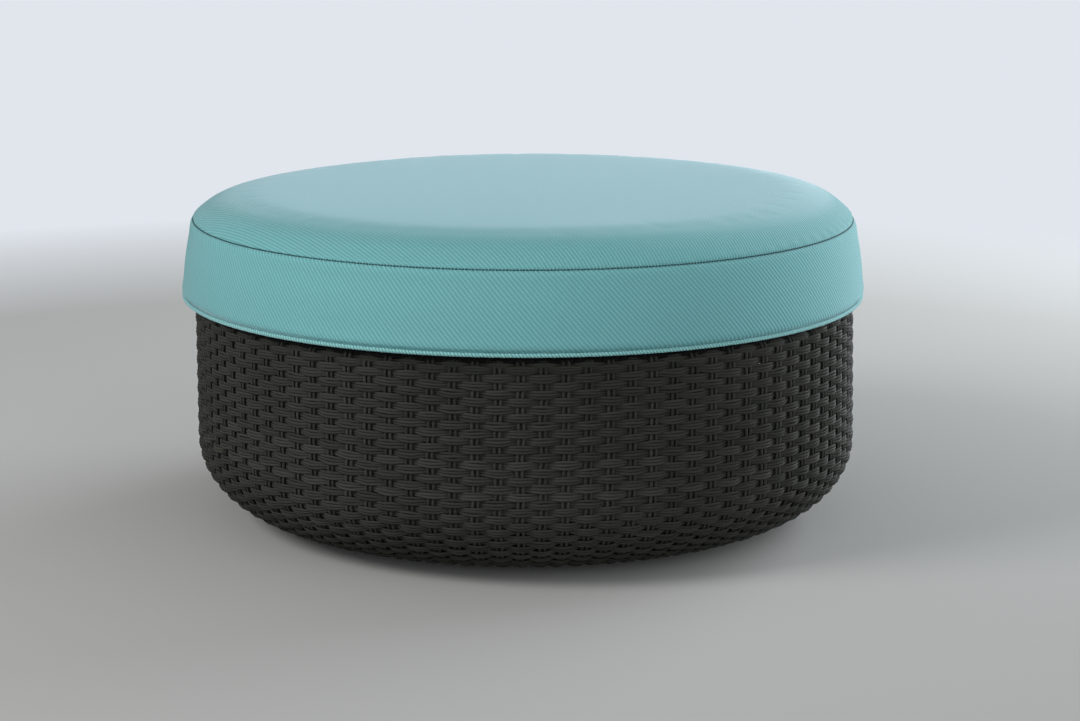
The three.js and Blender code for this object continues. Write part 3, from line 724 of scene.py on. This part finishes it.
def deck_layer(name, weave, lengthways, material):
    """Deck bundles one way: four flat strands side by side, over and under the bundles that run across, by a
    cosine of the way along. Each ends at the deck's round edge."""
    chance = np.random.default_rng(23 + lengthways)
    each, strand_pitch = 4, 0.0055
    strand_width, strand_thickness = 0.0052, 0.0026
    swing, uneven_height = 0.0024, 0.0003
    below_rim, edge_gap = 0.0024, 0.006
    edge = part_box("deck_weave")[1].x - edge_gap
    number = int(edge / weave.deck_pitch)
    lines = np.repeat(np.arange(-number, number + 1), each)
    strand = np.tile((np.arange(each) - (each - 1) / 2) * strand_pitch, 2 * number + 1)
    offset = lines * weave.deck_pitch + strand
    keep = np.abs(offset) < edge
    lines, offset = lines[keep], offset[keep]
    reach = np.sqrt(edge ** 2 - offset ** 2)
    share = np.linspace(-1, 1, 121)
    run = reach[:, None] * share
    over = np.cos(math.pi * (run / weave.deck_pitch + lines[:, None] + lengthways))
    top = weave.rim_height - below_rim
    height = top - swing * (1 - over) - chance.uniform(0, uneven_height, (len(lines), 1))
    stray = strays(chance, len(lines), share * math.pi, harmonics=12, size=weave.wander * 0.6)
    across = offset[:, None] + stray
    flat = [run, across] if lengthways else [across, run]
    centre = np.stack([*flat, height], -1)
    side = np.zeros_like(centre)
    side[..., 1 if lengthways else 0] = 1
    out = np.zeros_like(centre)
    out[..., 2] = 1
    return strands(name, centre, side, out, strand_width, strand_thickness,
                   strand_tones(chance, len(lines)), material)


def glide_angles():
    """Angles at which the four glides stand, from the middles of their boxes."""
    places = [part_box(f"glide_{number}") for number in range(1, 5)]
    return [math.atan2((low.x + high.x) / 2, -(low.y + high.y) / 2) for low, high in places]


# Cushion


def bell(distance, width):
    """Bell curve of a distance: 1 at nothing, and a third or so at the width."""
    return np.exp(-(distance / width) ** 2)


def crown_height(cushion, radius):
    """Height of the top panel: a flat middle that rounds over steeply at the seam, one less a high power."""
    share = np.minimum(radius / cushion.seam_radius, 1)
    return cushion.seam_height + cushion.crown * (1 - share ** cushion.crown_power)


def settled(cushion, radius, height, angle):
    """How far the filling has settled: most at the left rear, and nothing at the seam and below."""
    lowest = math.radians(-125)
    side = 0.25 + 0.75 * radius / cushion.seam_radius * np.cos(angle - lowest)
    rise = np.clip((height - cushion.seam_height) / cushion.crown, 0, 1)
    return cushion.sag * np.clip(side, 0, 1) ** 1.5 * rise


def band_radius(cushion, height):
    """Radius of the band: a parabola from the piping to the seam, drawn in towards the seam."""
    share = np.clip((cushion.seam_height - height) / (cushion.seam_height - cushion.band_foot), 0, 1)
    return cushion.seam_radius + (cushion.outer_radius - cushion.seam_radius) * (1 - (1 - share) ** 2)


def cover_profile(cushion, zip_fastener):
    """Half section of the cover from the middle of its underside round to the middle of its top: radius,
    height and the part that each point is on (0 underside, 1 band, 2 top). The points lie closer together at
    the seams, at the crown's shoulder and at the zip."""
    piping_gap, slot_edge = 0.0004, 0.0005
    foot = cushion.band_foot + cushion.piping / 2
    inner = cushion.outer_radius - cushion.piping - piping_gap
    under = np.array([0.08, 0.2, 0.32, 0.42, 0.5, 0.58, 0.66, 0.74, 0.81, 0.87, 0.92, 0.96, 0.985, 1]) * inner
    edges = [zip_fastener.height + side * (zip_fastener.slot / 2 + step)
             for side in (-1, 1) for step in (-slot_edge, slot_edge)]
    levels = np.concatenate([foot + np.array([0, 0.0006, 0.0014, 0.0025, 0.004, 0.006]), edges,
                             np.linspace(foot + 0.0095, cushion.seam_height - 0.008, 22),
                             cushion.seam_height - np.array([0.0055, 0.0035, 0.0022, 0.0012, 0.0005])])
    levels = np.unique(np.round(levels, 6))
    shares = np.array([1, 0.9985, 0.997, 0.995, 0.992, 0.988, 0.983, 0.977, 0.97, 0.962, 0.953, 0.943,
                       0.932, 0.92, 0.905, 0.888, 0.87, 0.85, 0.82, 0.78, 0.73, 0.67, 0.6, 0.52, 0.43,
                       0.33, 0.22, 0.11])
    top = shares * cushion.seam_radius
    radius = np.concatenate([under, band_radius(cushion, levels), top])
    height = np.concatenate([np.full(len(under), cushion.underside), levels, crown_height(cushion, top)])
    part = np.repeat([0, 1, 2], [len(under), len(levels), len(top)])
    return radius, height, part


def cover_columns(zip_fastener):
    """Angles round the cushion from the rear by way of the front, with a pair at each end of the zip."""
    even = np.linspace(-math.pi, math.pi, 481)[:-1]
    ends = math.pi - zip_fastener.half_turn
    slot_end = 0.0016
    extra = [side * (ends + step) for side in (-1, 1) for step in (-slot_end, slot_end)]
    return np.unique(np.concatenate([even, extra]))


def shape_cover(cushion, zip_fastener, radius, height, part, angle):
    """Sews the plain form: draws the seams in, waves the cloth a little beside them, swells it slowly from
    place to place, lets the filling settle and sinks the zip's slot. The moves at a seam fade with a bell
    curve of the distance from it."""
    chance = np.random.default_rng(3)
    groove_width = 0.0024
    pucker_width, pucker_start = 0.011, 0.0035
    swell_size, swell_start = 0.0008, 0.012
    foot_depth, foot_width = 0.0042, 0.0028
    slot_depth = 0.0046
    clear_of_zip = 0.03
    on_band, on_top = (part == 1)[:, None], (part == 2)[:, None]
    shown = on_band | on_top
    radius = radius[:, None] + 0 * angle
    height = height[:, None] + 0 * angle
    level = np.where(on_top, cushion.seam_height, height[:, :1])
    gap = np.hypot(radius - cushion.seam_radius, height - cushion.seam_height)
    beside = shown * (height > cushion.band_foot + clear_of_zip)
    groove = cushion.seam_depth * bell(gap, groove_width) * beside
    waves = strays(chance, 2, angle, harmonics=130, size=1.0)
    slow = strays(chance, 2, angle, harmonics=9, size=1.0)
    fold = bell(gap, pucker_width) * (1 - bell(gap, pucker_start)) * beside
    pucker = cushion.pucker * fold * np.where(on_top, waves[0], waves[1] * 0.7)
    swell = swell_size * np.where(on_top, slow[0] * (radius / cushion.seam_radius) ** 4, slow[1])
    swell = swell * shown * (1 - bell(gap, swell_start))
    foot_gap = np.abs(level - cushion.band_foot - cushion.piping / 2)
    foot = on_band * foot_depth * bell(foot_gap, foot_width)
    swell = swell * np.where(on_band, 1 - bell(foot_gap, swell_start), 1)
    radius = radius - groove * np.where(on_top, 0.75, 1) - foot
    radius = radius + np.where(on_band, pucker + swell, pucker * 0.4)
    height = height - groove * np.where(on_top, 0.5, 0)
    height = height + np.where(on_top, pucker * 0.8 + swell, 0)
    height = height - settled(cushion, radius, height, angle)
    behind = math.pi - np.abs(angle)
    slot = (behind < zip_fastener.half_turn) & (np.abs(level - zip_fastener.height) < zip_fastener.slot / 2)
    return radius - slot_depth * (slot & on_band), height


def freedom(zip_fastener, height, run, foot, seam, angle):
    """How freely each point of the cover can move: 0 on the underside, at the seams and at the zip, and 1 a
    few centimetres away from them, by bell curves of the distance."""
    held, zip_radius = 0.013, 0.45
    below = np.maximum(np.abs(height - zip_fastener.height) - zip_fastener.slot / 2, 0)
    beyond = np.maximum(math.pi - zip_fastener.half_turn - np.abs(angle), 0) * zip_radius
    gaps = (np.maximum(run - foot, 0)[:, None], np.abs(run - seam)[:, None], np.hypot(below[:, None], beyond))
    return math.prod(1 - bell(gap, held) for gap in gaps)


def facing(radius, height, run):
    """Direction that faces out of a section, as its share outwards and its share upwards."""
    out, up = np.gradient(height, run), -np.gradient(radius, run)
    return out / np.hypot(out, up), up / np.hypot(out, up)


def fill_out(context, cushion, zip_fastener, profile, angle, material):
    """Lets the filling press the cover out. A coarse copy of the plain form, slimmer by the loft between its
    seams, is cloth with air inside: it is pinned where the cover is held, blown up for twenty frames and read
    back. The filling keeps each point from moving in, and none moves out by more than the loft. Gives how far
    each point of the cover ends up outside its plain place."""
    radius, height, part, run = profile
    frames, air_pressure, cloth_stiffness = 20, 4, 0.6
    pinned_under = 0.05
    foot, seam, end = run[np.argmax(part == 1)], run[np.argmax(part == 2)], run[-1]
    spots = np.concatenate([np.linspace(0, foot, 12), np.linspace(foot, seam, 12)[1:],
                            seam + (end - seam) * np.linspace(0, 1, 30)[1:] ** 1.3])
    around = np.linspace(-math.pi, math.pi, 193)[:-1]
    wide, high = np.interp(spots, run, radius), np.interp(spots, run, height)
    free = freedom(zip_fastener, high, spots, foot, seam, around)
    slim = cushion.loft * free
    out, up = (share[:, None] for share in facing(wide, high, spots))
    start = spin(wide[:, None] - out * slim, high[:, None] - up * slim, around)
    poles = [[0, 0, cushion.underside], [0, 0, start[-1, :, 2].mean()]]
    blank = surface("cover_blank", np.concatenate([start.reshape(-1, 3), poles]),
                    closed_round(len(spots), len(around)), material)
    pins = blank.vertex_groups.new(name="seams")
    pins.add([*np.flatnonzero(free < pinned_under).tolist(), free.size], 1.0, "REPLACE")
    cloth = blank.modifiers.new("Cloth", "CLOTH")
    cloth.settings.quality = 5
    cloth.settings.bending_stiffness = cloth_stiffness
    cloth.settings.use_pressure = True
    cloth.settings.uniform_pressure_force = air_pressure
    cloth.settings.shrink_min = -cushion.ease
    cloth.settings.vertex_group_mass = "seams"
    cloth.settings.effector_weights.gravity = 0
    cloth.collision_settings.use_collision = False
    for moment in range(1, frames + 1):
        context.scene.frame_set(moment)
    blown = blank.evaluated_get(context.evaluated_depsgraph_get()).data
    places = np.empty(len(blown.vertices) * 3, np.float32)
    blown.vertices.foreach_get("co", places)
    context.scene.frame_set(1)
    bpy.data.objects.remove(blank)
    move = places.reshape(-1, 3)[:-2].reshape(start.shape) - start
    push = np.maximum((move * spin(out, up, around)).sum(-1), 0)
    beyond = cushion.loft * np.tanh(push / cushion.loft) - slim
    turned = np.stack([np.interp(angle, around, row, period=math.tau) for row in beyond])
    return np.stack([np.interp(run, spots, column) for column in turned.T], 1)


def rib_map(x, y, lean, pitch):
    """Map of cloth laid flat: its ribs lean by an angle, and are counted across and measured along."""
    across = (x * math.cos(lean) + y * math.sin(lean)) / pitch
    along = y * math.cos(lean) - x * math.sin(lean)
    return np.stack([across, along], -1)


def cover_piece(context, cushion, zip_fastener, material):
    """Closed cover: the profile turned round the cushion, with a pole at the middle of the underside and of
    the top. The cloth's ribs are counted straight across the panels and along the unrolled band."""
    band_lean, panel_lean = math.radians(41), math.radians(33.5)
    radius, height, part = cover_profile(cushion, zip_fastener)
    angle = cover_columns(zip_fastener)
    wide, high = shape_cover(cushion, zip_fastener, radius, height, part, angle)
    run = np.append(0, np.hypot(np.diff(radius), np.diff(height)).cumsum())
    beyond = fill_out(context, cushion, zip_fastener, (radius, height, part, run), angle, material)
    out, up = (share[:, None] for share in facing(radius, height, run))
    wide, high = wide + out * beyond, high + up * beyond
    grid = spin(wide, high, angle)
    rows, columns = wide.shape
    poles = np.array([[0, 0, cushion.underside], [0, 0, high[-1].mean()]])
    points = np.concatenate([grid.reshape(-1, 3), poles])
    quads, fans = closed_round(rows, columns)
    on_band = np.repeat((part[:-1] == 1) & (part[1:] == 1), columns)
    edges = np.append(angle, angle[0] + math.tau)
    left, right = np.tile(edges[:-1], rows - 1), np.tile(edges[1:], rows - 1)
    unrolled = np.stack([left, right, right, left], -1) * cushion.outer_radius
    band_map = rib_map(unrolled, points[quads][..., 2], band_lean, cushion.band_rib)
    inwards = run[-1] + radius[-1] - run
    flat = np.concatenate([spin(np.repeat(inwards, columns), 0, np.tile(angle, rows)), np.zeros((2, 3))])
    panel_map, fan_map = (rib_map(flat[faces][..., 0], flat[faces][..., 1], panel_lean, cushion.top_rib)
                          for faces in (quads, fans))
    quad_map = np.where(on_band[:, None, None], band_map, panel_map)
    uvs = np.concatenate([quad_map.reshape(-1, 2), fan_map.reshape(-1, 2)])
    return surface("cushion_cover", points, [quads, fans], material, uvs=uvs)


def ring_tube(name, radius, height, size, ribs, material):
    """Cord laid in a ring: a circle turned round the cushion, whose size varies by a cosine that winds round
    it as its cloth does. Its map counts the ribs of the cloth."""
    steps, sides = 1440, 12
    wave, ribs_per_wave = 0.03, 4
    angle = np.arange(steps) * math.tau / steps
    corner = (np.arange(sides) * math.tau / sides)[None]
    level = size / 2 * (1 + wave * np.cos(ribs * angle[:, None] / ribs_per_wave + corner))
    points = spin(radius + level * np.cos(corner), height + level * np.sin(corner), angle[:, None])
    index = np.arange(steps * sides).reshape(steps, sides)
    quads = loop_faces(index, np.roll(index, -1, 0), backwards=True)
    step = np.repeat(np.arange(steps), sides)
    side = np.tile(np.arange(sides), steps)
    run = np.stack([step, step + 1, step + 1, step], -1) / steps
    about = np.stack([side, side, side + 1, side + 1], -1) / sides
    uvs = np.stack([run * ribs + about * 2, run * math.tau * radius], -1)
    return surface(name, points.reshape(-1, 3), [quads], material, uvs=uvs.reshape(-1, 2))


def seam_stitches(cushion, material):
    """Stitches of the top seam: short capsules in a ring, slightly askew, sunk into the seam's groove. They
    slim and dip towards their ends by a fourth power."""
    chance = np.random.default_rng(5)
    thread_size, end_slimmer, end_sink = 0.0019, 0.35, 0.0007
    half_share, groove_share = 0.36, 0.55
    below_seam, askew, uneven_askew = 0.0002, 0.0001, 0.00006
    count = int(round(math.tau * cushion.seam_radius / cushion.stitch_pitch))
    middle = np.arange(count) * math.tau / count
    share = np.linspace(-1, 1, 5)
    radius = cushion.seam_radius - cushion.seam_depth * groove_share
    half = cushion.stitch_pitch * half_share / radius
    skew = chance.normal(askew, uneven_askew, count)
    angle = middle[:, None] + half * share
    height = cushion.seam_height - below_seam + skew[:, None] * share
    points = spin(radius - end_sink * share ** 4, height, angle)
    side = np.zeros_like(points)
    side[..., 2] = 1
    size = thread_size * (1 - end_slimmer * share ** 4) + np.zeros((count, 1))
    return strands("top_stitches", points, side, spin(1, 0, angle), size, size,
                   chance.normal(0, 0.4, count), material)


def zip_tape_strip(cushion, zip_fastener, material):
    """Zip tape: a thin closed strip that follows the band at the rear, behind its slot."""
    half_width, thickness, behind_band = 0.012, 0.001, 0.0023
    half = zip_fastener.half_turn
    angle = math.pi + np.linspace(-half, half, 241)
    levels = zip_fastener.height + np.array([-1, -0.5, 0, 0.5, 1]) * half_width
    outer = band_radius(cushion, levels) - behind_band
    section = np.concatenate([np.stack([outer, levels], -1), np.stack([outer - thickness, levels], -1)[::-1]])
    points = spin(section[:, 0], section[:, 1], angle[:, None])
    steps, corners = points.shape[:2]
    index = np.arange(steps * corners).reshape(steps, corners)
    quads = loop_faces(index[:-1], index[1:], backwards=True)
    caps = np.stack([index[0], index[-1][::-1]])
    run = angle * cushion.outer_radius
    flat = np.stack(np.broadcast_arrays(run[:, None], section[:, 1]), -1).reshape(-1, 2)
    uvs = np.concatenate([flat[quads.ravel()], flat[caps.ravel()]])
    return surface("zip_tape_cloth", points.reshape(-1, 3), [quads, caps], material, uvs=uvs)


def zip_teeth(cushion, zip_fastener, material):
    """Zip coil: short upright turns side by side along the zip, bowed by a parabola and leaning to and
    fro."""
    end_gap = math.radians(3)
    half_height, bow, lean_by = 0.0027, 0.0007, 0.0003
    behind_band = 0.00085
    wire_width, wire_thickness = 0.00155, 0.0013
    half = zip_fastener.half_turn - end_gap
    count = int(2 * half * cushion.outer_radius / zip_fastener.tooth_pitch)
    middle = math.pi + np.linspace(-half, half, count)
    share = np.linspace(-1, 1, 5)
    face = band_radius(cushion, zip_fastener.height)
    radius = face - behind_band - bow * share ** 2
    lean = np.where(np.arange(count) % 2 == 0, 1, -1)[:, None] * lean_by / face
    angle = middle[:, None] + lean * share
    points = spin(radius, zip_fastener.height + half_height * share, angle)
    return strands("zip_coil_teeth", points, way_round(angle), spin(1, 0, angle), wire_width,
                   wire_thickness, np.zeros(count), material, sides=6)


def slab(name, cushion, profile, material):
    """Closed block of filling: a profile of (radius, height) points that starts and ends near the axis,
    turned round it, closed by a pole at each end and settled as the cover is."""
    columns = 240
    radius, height = np.array(profile).T
    angle = np.linspace(0, math.tau, columns, endpoint=False)
    level = height[:, None] - settled(cushion, radius[:, None], height[:, None], angle)
    grid = spin(radius[:, None], level, angle)
    poles = [[0, 0, height[place] - settled(cushion, 0, height[place], 0)] for place in (0, -1)]
    points = np.concatenate([grid.reshape(-1, 3), poles])
    return surface(name, points, closed_round(len(radius), columns), material)


# Operators


class OTTOMAN_OT_stage(bpy.types.Operator):
    """Lay the floor, hang the lamps and set up the camera"""
    bl_idname = "ottoman.stage"
    bl_label = "Stage"

    def execute(self, context):
        stage = context.scene.ottoman_stage
        self.lay_floor(stage)
        self.light_air(context, stage)
        self.hang_lamps(context, stage)
        self.set_camera(context, stage)
        context.scene.view_settings.view_transform = "Standard"
        return {"FINISHED"}

    def lay_floor(self, stage):
        """Pale floor that fades into the backdrop far off, and is clear from below."""
        size = 30.0
        points = np.array([[-size, -size, 0], [size, -size, 0], [size, size, 0], [-size, size, 0]])
        finish = Finish("stage floor", Specular_IOR_Level=0.0)
        seen = finish.node("LightPath", output="Is Camera Ray")
        seen = seen.math("MAXIMUM", finish.node("LightPath", output="Is Glossy Ray"))
        finish.finish(Base_Color=finish.blend(seen, stage.floor_bounce, stage.floor), Roughness=0.9)
        x, y, _ = finish.parts(finish.place())
        away = ((x * x + y * y) ** 0.5).clamp(stage.backdrop_near, stage.backdrop_far)
        glow = finish.node("Emission", inputs={"Color": stage.backdrop})
        painted = Signal(finish, finish.shader.outputs[0])
        above = finish.node("MixShader", inputs={0: away, 1: painted, 2: glow})
        below = finish.node("BsdfTransparent")
        mixed = finish.node("MixShader", inputs={0: finish.node("NewGeometry", output="Backfacing"),
                                                 1: above, 2: below})
        output = next(node for node in finish.tree.nodes if node.type == "OUTPUT_MATERIAL")
        finish.join(mixed, output.inputs["Surface"])
        floor = surface("floor", points, [np.array([[0, 1, 2, 3]])], finish.material)

    def light_air(self, context, stage):
        """Light from all round: it goes from the walls' strength to the ceiling's with height, and leans."""
        ceiling_from = 0.8
        world = bpy.data.worlds.new("soft light")
        world.use_nodes = True
        air = Nodes(world.node_tree)
        way = air.node("TexCoord", output="Generated")
        rise = air.node("MapRange", inputs={"Value": air.parts(way)[2], "From Max": ceiling_from,
                                            "To Min": stage.level_air, "To Max": stage.upper_air})
        lean = air.node("VectorMath", {"operation": "DOT_PRODUCT"}, {0: way, 1: (*stage.air_lean, 0)},
                        output="Value")
        background = world.node_tree.nodes["Background"]
        air.join(stage.air, background.inputs["Color"])
        air.join(rise.math("MULTIPLY_ADD", lean, rise), background.inputs["Strength"])
        context.scene.world = world

    def hang_lamps(self, context, stage):
        """Round lamps, each turned from straight down to face the place that it is aimed at."""
        white, cool = (1, 1, 1), (0.88, 0.95, 1)
        for name, watts, tone, size, place, aim in (
            ("key_lamp", stage.key_power, white, 1.6, (-2.7, -1.6, 2.3), (0, 0, 0.25)),
            ("top_lamp", stage.top_power, white, 2.8, (-0.3, 0.6, 3.2), (0, 0, 0.3)),
            ("edge_lamp", stage.edge_power, cool, 3.6, (3.0, 2.4, 0.8), (0, 0, 0.3)),
        ):
            lamp = bpy.data.lights.new(name, "AREA")
            lamp.shape = "DISK"
            lamp.size = size
            lamp.energy = watts
            lamp.color = tone
            holder = bpy.data.objects.new(name, lamp)
            context.scene.collection.objects.link(holder)
            way = np.array(place) - np.array(aim)
            tilt = math.acos(way[2] / np.linalg.norm(way))
            heading = math.atan2(way[0], -way[1])
            holder.matrix_world = (Matrix.Translation(place) @ Matrix.Rotation(heading, 4, "Z")
                                   @ Matrix.Rotation(tilt, 4, "X"))

    def set_camera(self, context, stage):
        """Camera that looks to the rear, down by its pitch and turned by its roll."""
        lens = bpy.data.cameras.new("camera")
        lens.lens = stage.lens
        lens.sensor_width = 36
        camera = bpy.data.objects.new("camera", lens)
        context.scene.collection.objects.link(camera)
        camera.matrix_world = (Matrix.Translation(stage.camera_place)
                               @ Matrix.Rotation(math.pi / 2 - stage.camera_pitch, 4, "X")
                               @ Matrix.Rotation(stage.camera_roll, 4, "Z"))
        context.scene.camera = camera


class OTTOMAN_OT_wall(bpy.types.Operator):
    """Weave the wall and the bend from stakes and weaver rows"""
    bl_idname = "ottoman.wall"
    bl_label = "Woven wall"

    def execute(self, context):
        weave = context.scene.ottoman_weave
        outline = SkinOutline(weave)
        material = fibre_material("woven fibre", weave.fibre, weave.fibre_pale, weave.fibre_painted_shade)
        for piece in (*weave_rows(weave, outline, material), *weave_stakes(weave, outline, material)):
            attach(piece, "base")
            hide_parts("side_weave")
        return {"FINISHED"}


class OTTOMAN_OT_rim(bpy.types.Operator):
    """Wrap strands round the top hoop and the base hoop"""
    bl_idname = "ottoman.rim"
    bl_label = "Rim and lip"

    def execute(self, context):
        weave = context.scene.ottoman_weave
        outline = SkinOutline(weave)
        # The wrapped strands are painted nearly black as painted shadow, under the cushion's overhang at the
        # rim and under the base at the lip.
        material = fibre_material("shadow painted wrapped fibre", weave.rim_shadow_fibre, weave.fibre_painted_shade, weave.rim_shadow_fibre)
        glides = glide_angles()
        glide_gap = 0.0068
        rim_per_stake, lip_per_stake = 8, 5.6

        def at_glide(angle):
            near = [np.abs((angle - glide + math.pi) % math.tau - math.pi) for glide in glides]
            return np.min(near, 0) * weave.lip_radius < glide_gap

        rim = wrap("rim_wrap", weave, outline.rim_centre, weave.rim_round, material, arc=(30, 150),
                   slant=0.045, count=weave.stakes * rim_per_stake)
        lip = wrap("lip_wrap", weave, outline.lip_centre, weave.lip_round, material, arc=(-62, -245),
                   slant=0.05, count=int(weave.stakes * lip_per_stake), skip=at_glide)
        for piece in (rim, lip):
            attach(piece, "base")
            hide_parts("side_weave")
        return {"FINISHED"}


class OTTOMAN_OT_deck(bpy.types.Operator):
    """Weave the deck that carries the cushion"""
    bl_idname = "ottoman.deck"
    bl_label = "Woven deck"

    def execute(self, context):
        weave = context.scene.ottoman_weave
        material = fibre_material("deck fibre", weave.fibre, weave.fibre_pale, weave.fibre_painted_shade)
        for name, lengthways in (("deck_strands_across", 1), ("deck_strands_deep", 0)):
            piece = deck_layer(name, weave, lengthways, material)
            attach(piece, "base")
            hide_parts("deck_weave")
        return {"FINISHED"}


class OTTOMAN_OT_frame(bpy.types.Operator):
    """Finish the hoops, ribs, bars, glides, screws and the zip's slider and pull"""
    bl_idname = "ottoman.frame"
    bl_label = "Frame and hardware"

    def execute(self, context):
        settings = context.scene.ottoman_frame
        finishes = {
            "coated_aluminium": coated_material("powder coat", settings.coating),
            "stainless_steel": steel_material("brushed steel", settings.steel),
            "nylon": nylon_material("moulded nylon", settings.nylon),
        }
        for part in frame["record"]["subparts"]:
            if part["material_slot"] in finishes:
                node = frame["nodes"][part["node"]]
                node.data.materials.clear()
                node.data.materials.append(finishes[part["material_slot"]])
        return {"FINISHED"}


class OTTOMAN_OT_filling(bpy.types.Operator):
    """Fill the cushion with its foam slab and its layer of fibre"""
    bl_idname = "ottoman.filling"
    bl_label = "Filling"

    def execute(self, context):
        settings = context.scene.ottoman_frame
        cushion = context.scene.ottoman_cushion
        band_gap, top_gap = 0.0046, 0.0038
        flat = np.array([0.1, 0.3, 0.5, 0.7, 0.85, 0.95, 0.99])
        foam_low, foam_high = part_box("foam_core")
        levels = np.linspace(foam_low.z, foam_high.z, 14)
        side = np.minimum(band_radius(cushion, levels) - band_gap, foam_high.x)
        block = [*((share * side[0], levels[0]) for share in flat), *zip(side, levels),
                 *((share * side[-1], levels[-1]) for share in flat[::-1])]
        piece = slab("foam_slab", cushion, block, foam_material("foam", settings.foam))
        self.fit(piece, "foam", "foam_core")
        fill_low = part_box("fibre_layer")[0].z
        edge = float(band_radius(cushion, fill_low)) - band_gap
        shares = np.array([1, 0.995, 0.988, 0.98, 0.97, 0.955, 0.935, 0.91, 0.88, 0.84, 0.78, 0.7, 0.55,
                           0.4, 0.2])
        crown = cushion.seam_height + (cushion.crown - top_gap) * (1 - shares ** cushion.crown_power)
        block = [*((share * edge, fill_low) for share in (*flat, 1.0)),
                 *zip(shares * (cushion.seam_radius - top_gap), crown)]
        piece = slab("fibre_wrap", cushion, block, fill_material("fibre fill", settings.fibre_fill))
        self.fit(piece, "fibre_fill", "fibre_layer")
        return {"FINISHED"}

    def fit(self, piece, slot, node):
        """Puts a block of filling, made nearly tight to the cover, in its place on the cushion, and hides the
        part that it stands for.
        """
        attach(piece, "cushion")
        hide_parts(node)


class OTTOMAN_OT_cushion(bpy.types.Operator):
    """Sew the cushion's cover: crowned top, band and underside"""
    bl_idname = "ottoman.cushion"
    bl_label = "Cushion cover"

    def execute(self, context):
        cushion = context.scene.ottoman_cushion
        material = cloth_material("cover cloth", cushion.cloth_light, cushion.cloth_deep)
        piece = cover_piece(context, cushion, context.scene.ottoman_zip, material)
        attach(piece, "cushion")
        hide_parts("cover_top", "cover_band", "cover_bottom")
        return {"FINISHED"}


class OTTOMAN_OT_trim(bpy.types.Operator):
    """Lay the piping round the cushion's foot and stitch its top seam"""
    bl_idname = "ottoman.trim"
    bl_label = "Piping and stitches"

    def execute(self, context):
        cushion = context.scene.ottoman_cushion
        cloth = cloth_material("piping cloth", cushion.piping_light, cushion.piping_deep)
        rib_pitch = 0.0042
        radius = cushion.outer_radius - cushion.piping / 2
        ribs = int(math.tau * radius / rib_pitch)
        piping = ring_tube("piping_cord", radius, cushion.band_foot, cushion.piping, ribs, cloth)
        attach(piping, "cushion")
        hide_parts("piping")
        stitches = seam_stitches(cushion, thread_material("seam thread", cushion.thread))
        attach(stitches, "cushion")
        return {"FINISHED"}


class OTTOMAN_OT_zip(bpy.types.Operator):
    """Sew the zip's tape and coil into the rear of the band"""
    bl_idname = "ottoman.zip"
    bl_label = "Zip"

    def execute(self, context):
        cushion = context.scene.ottoman_cushion
        settings = context.scene.ottoman_zip
        tape = zip_tape_strip(cushion, settings, tape_material("zip tape", settings.tape))
        teeth = zip_teeth(cushion, settings, tooth_material("zip teeth", settings.tooth))
        for piece, name in ((tape, "zip_tape"), (teeth, "zip_coil")):
            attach(piece, "cushion")
            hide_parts(name)
        return {"FINISHED"}


class OTTOMAN_PT_sidebar(bpy.types.Panel):
    """Builds the ottoman piece by piece and shows its sizes and colours"""
    bl_idname = "OTTOMAN_PT_sidebar"
    bl_label = "Outdoor ottoman"
    bl_space_type = "VIEW_3D"
    bl_region_type = "UI"
    bl_category = "Ottoman"

    def draw(self, context):
        for operator in OPERATORS:
            self.layout.operator(operator.bl_idname)
        for name, group in SETTINGS.items():
            box = self.layout.box()
            box.label(text=group.__name__.removesuffix("Settings"))
            settings = getattr(context.scene, name)
            for key in group.__annotations__:
                box.prop(settings, key)


OPERATORS = (OTTOMAN_OT_stage, OTTOMAN_OT_wall, OTTOMAN_OT_rim, OTTOMAN_OT_deck, OTTOMAN_OT_frame,
             OTTOMAN_OT_filling, OTTOMAN_OT_cushion, OTTOMAN_OT_trim, OTTOMAN_OT_zip)
CLASSES = (*SETTINGS.values(), *OPERATORS, OTTOMAN_PT_sidebar)


def register():
    for kind in CLASSES:
        bpy.utils.register_class(kind)
    for name, group in SETTINGS.items():
        setattr(bpy.types.Scene, name, PointerProperty(type=group))


def unregister():
    for name in SETTINGS:
        delattr(bpy.types.Scene, name)
    for kind in reversed(CLASSES):
        bpy.utils.unregister_class(kind)


def main():
    register()
    bpy.ops.ottoman.stage()
    bpy.ops.ottoman.wall()
    bpy.ops.ottoman.rim()
    bpy.ops.ottoman.deck()
    bpy.ops.ottoman.frame()
    bpy.ops.ottoman.filling()
    bpy.ops.ottoman.cushion()
    bpy.ops.ottoman.trim()
    bpy.ops.ottoman.zip()


if __name__ == "__main__":
    main()
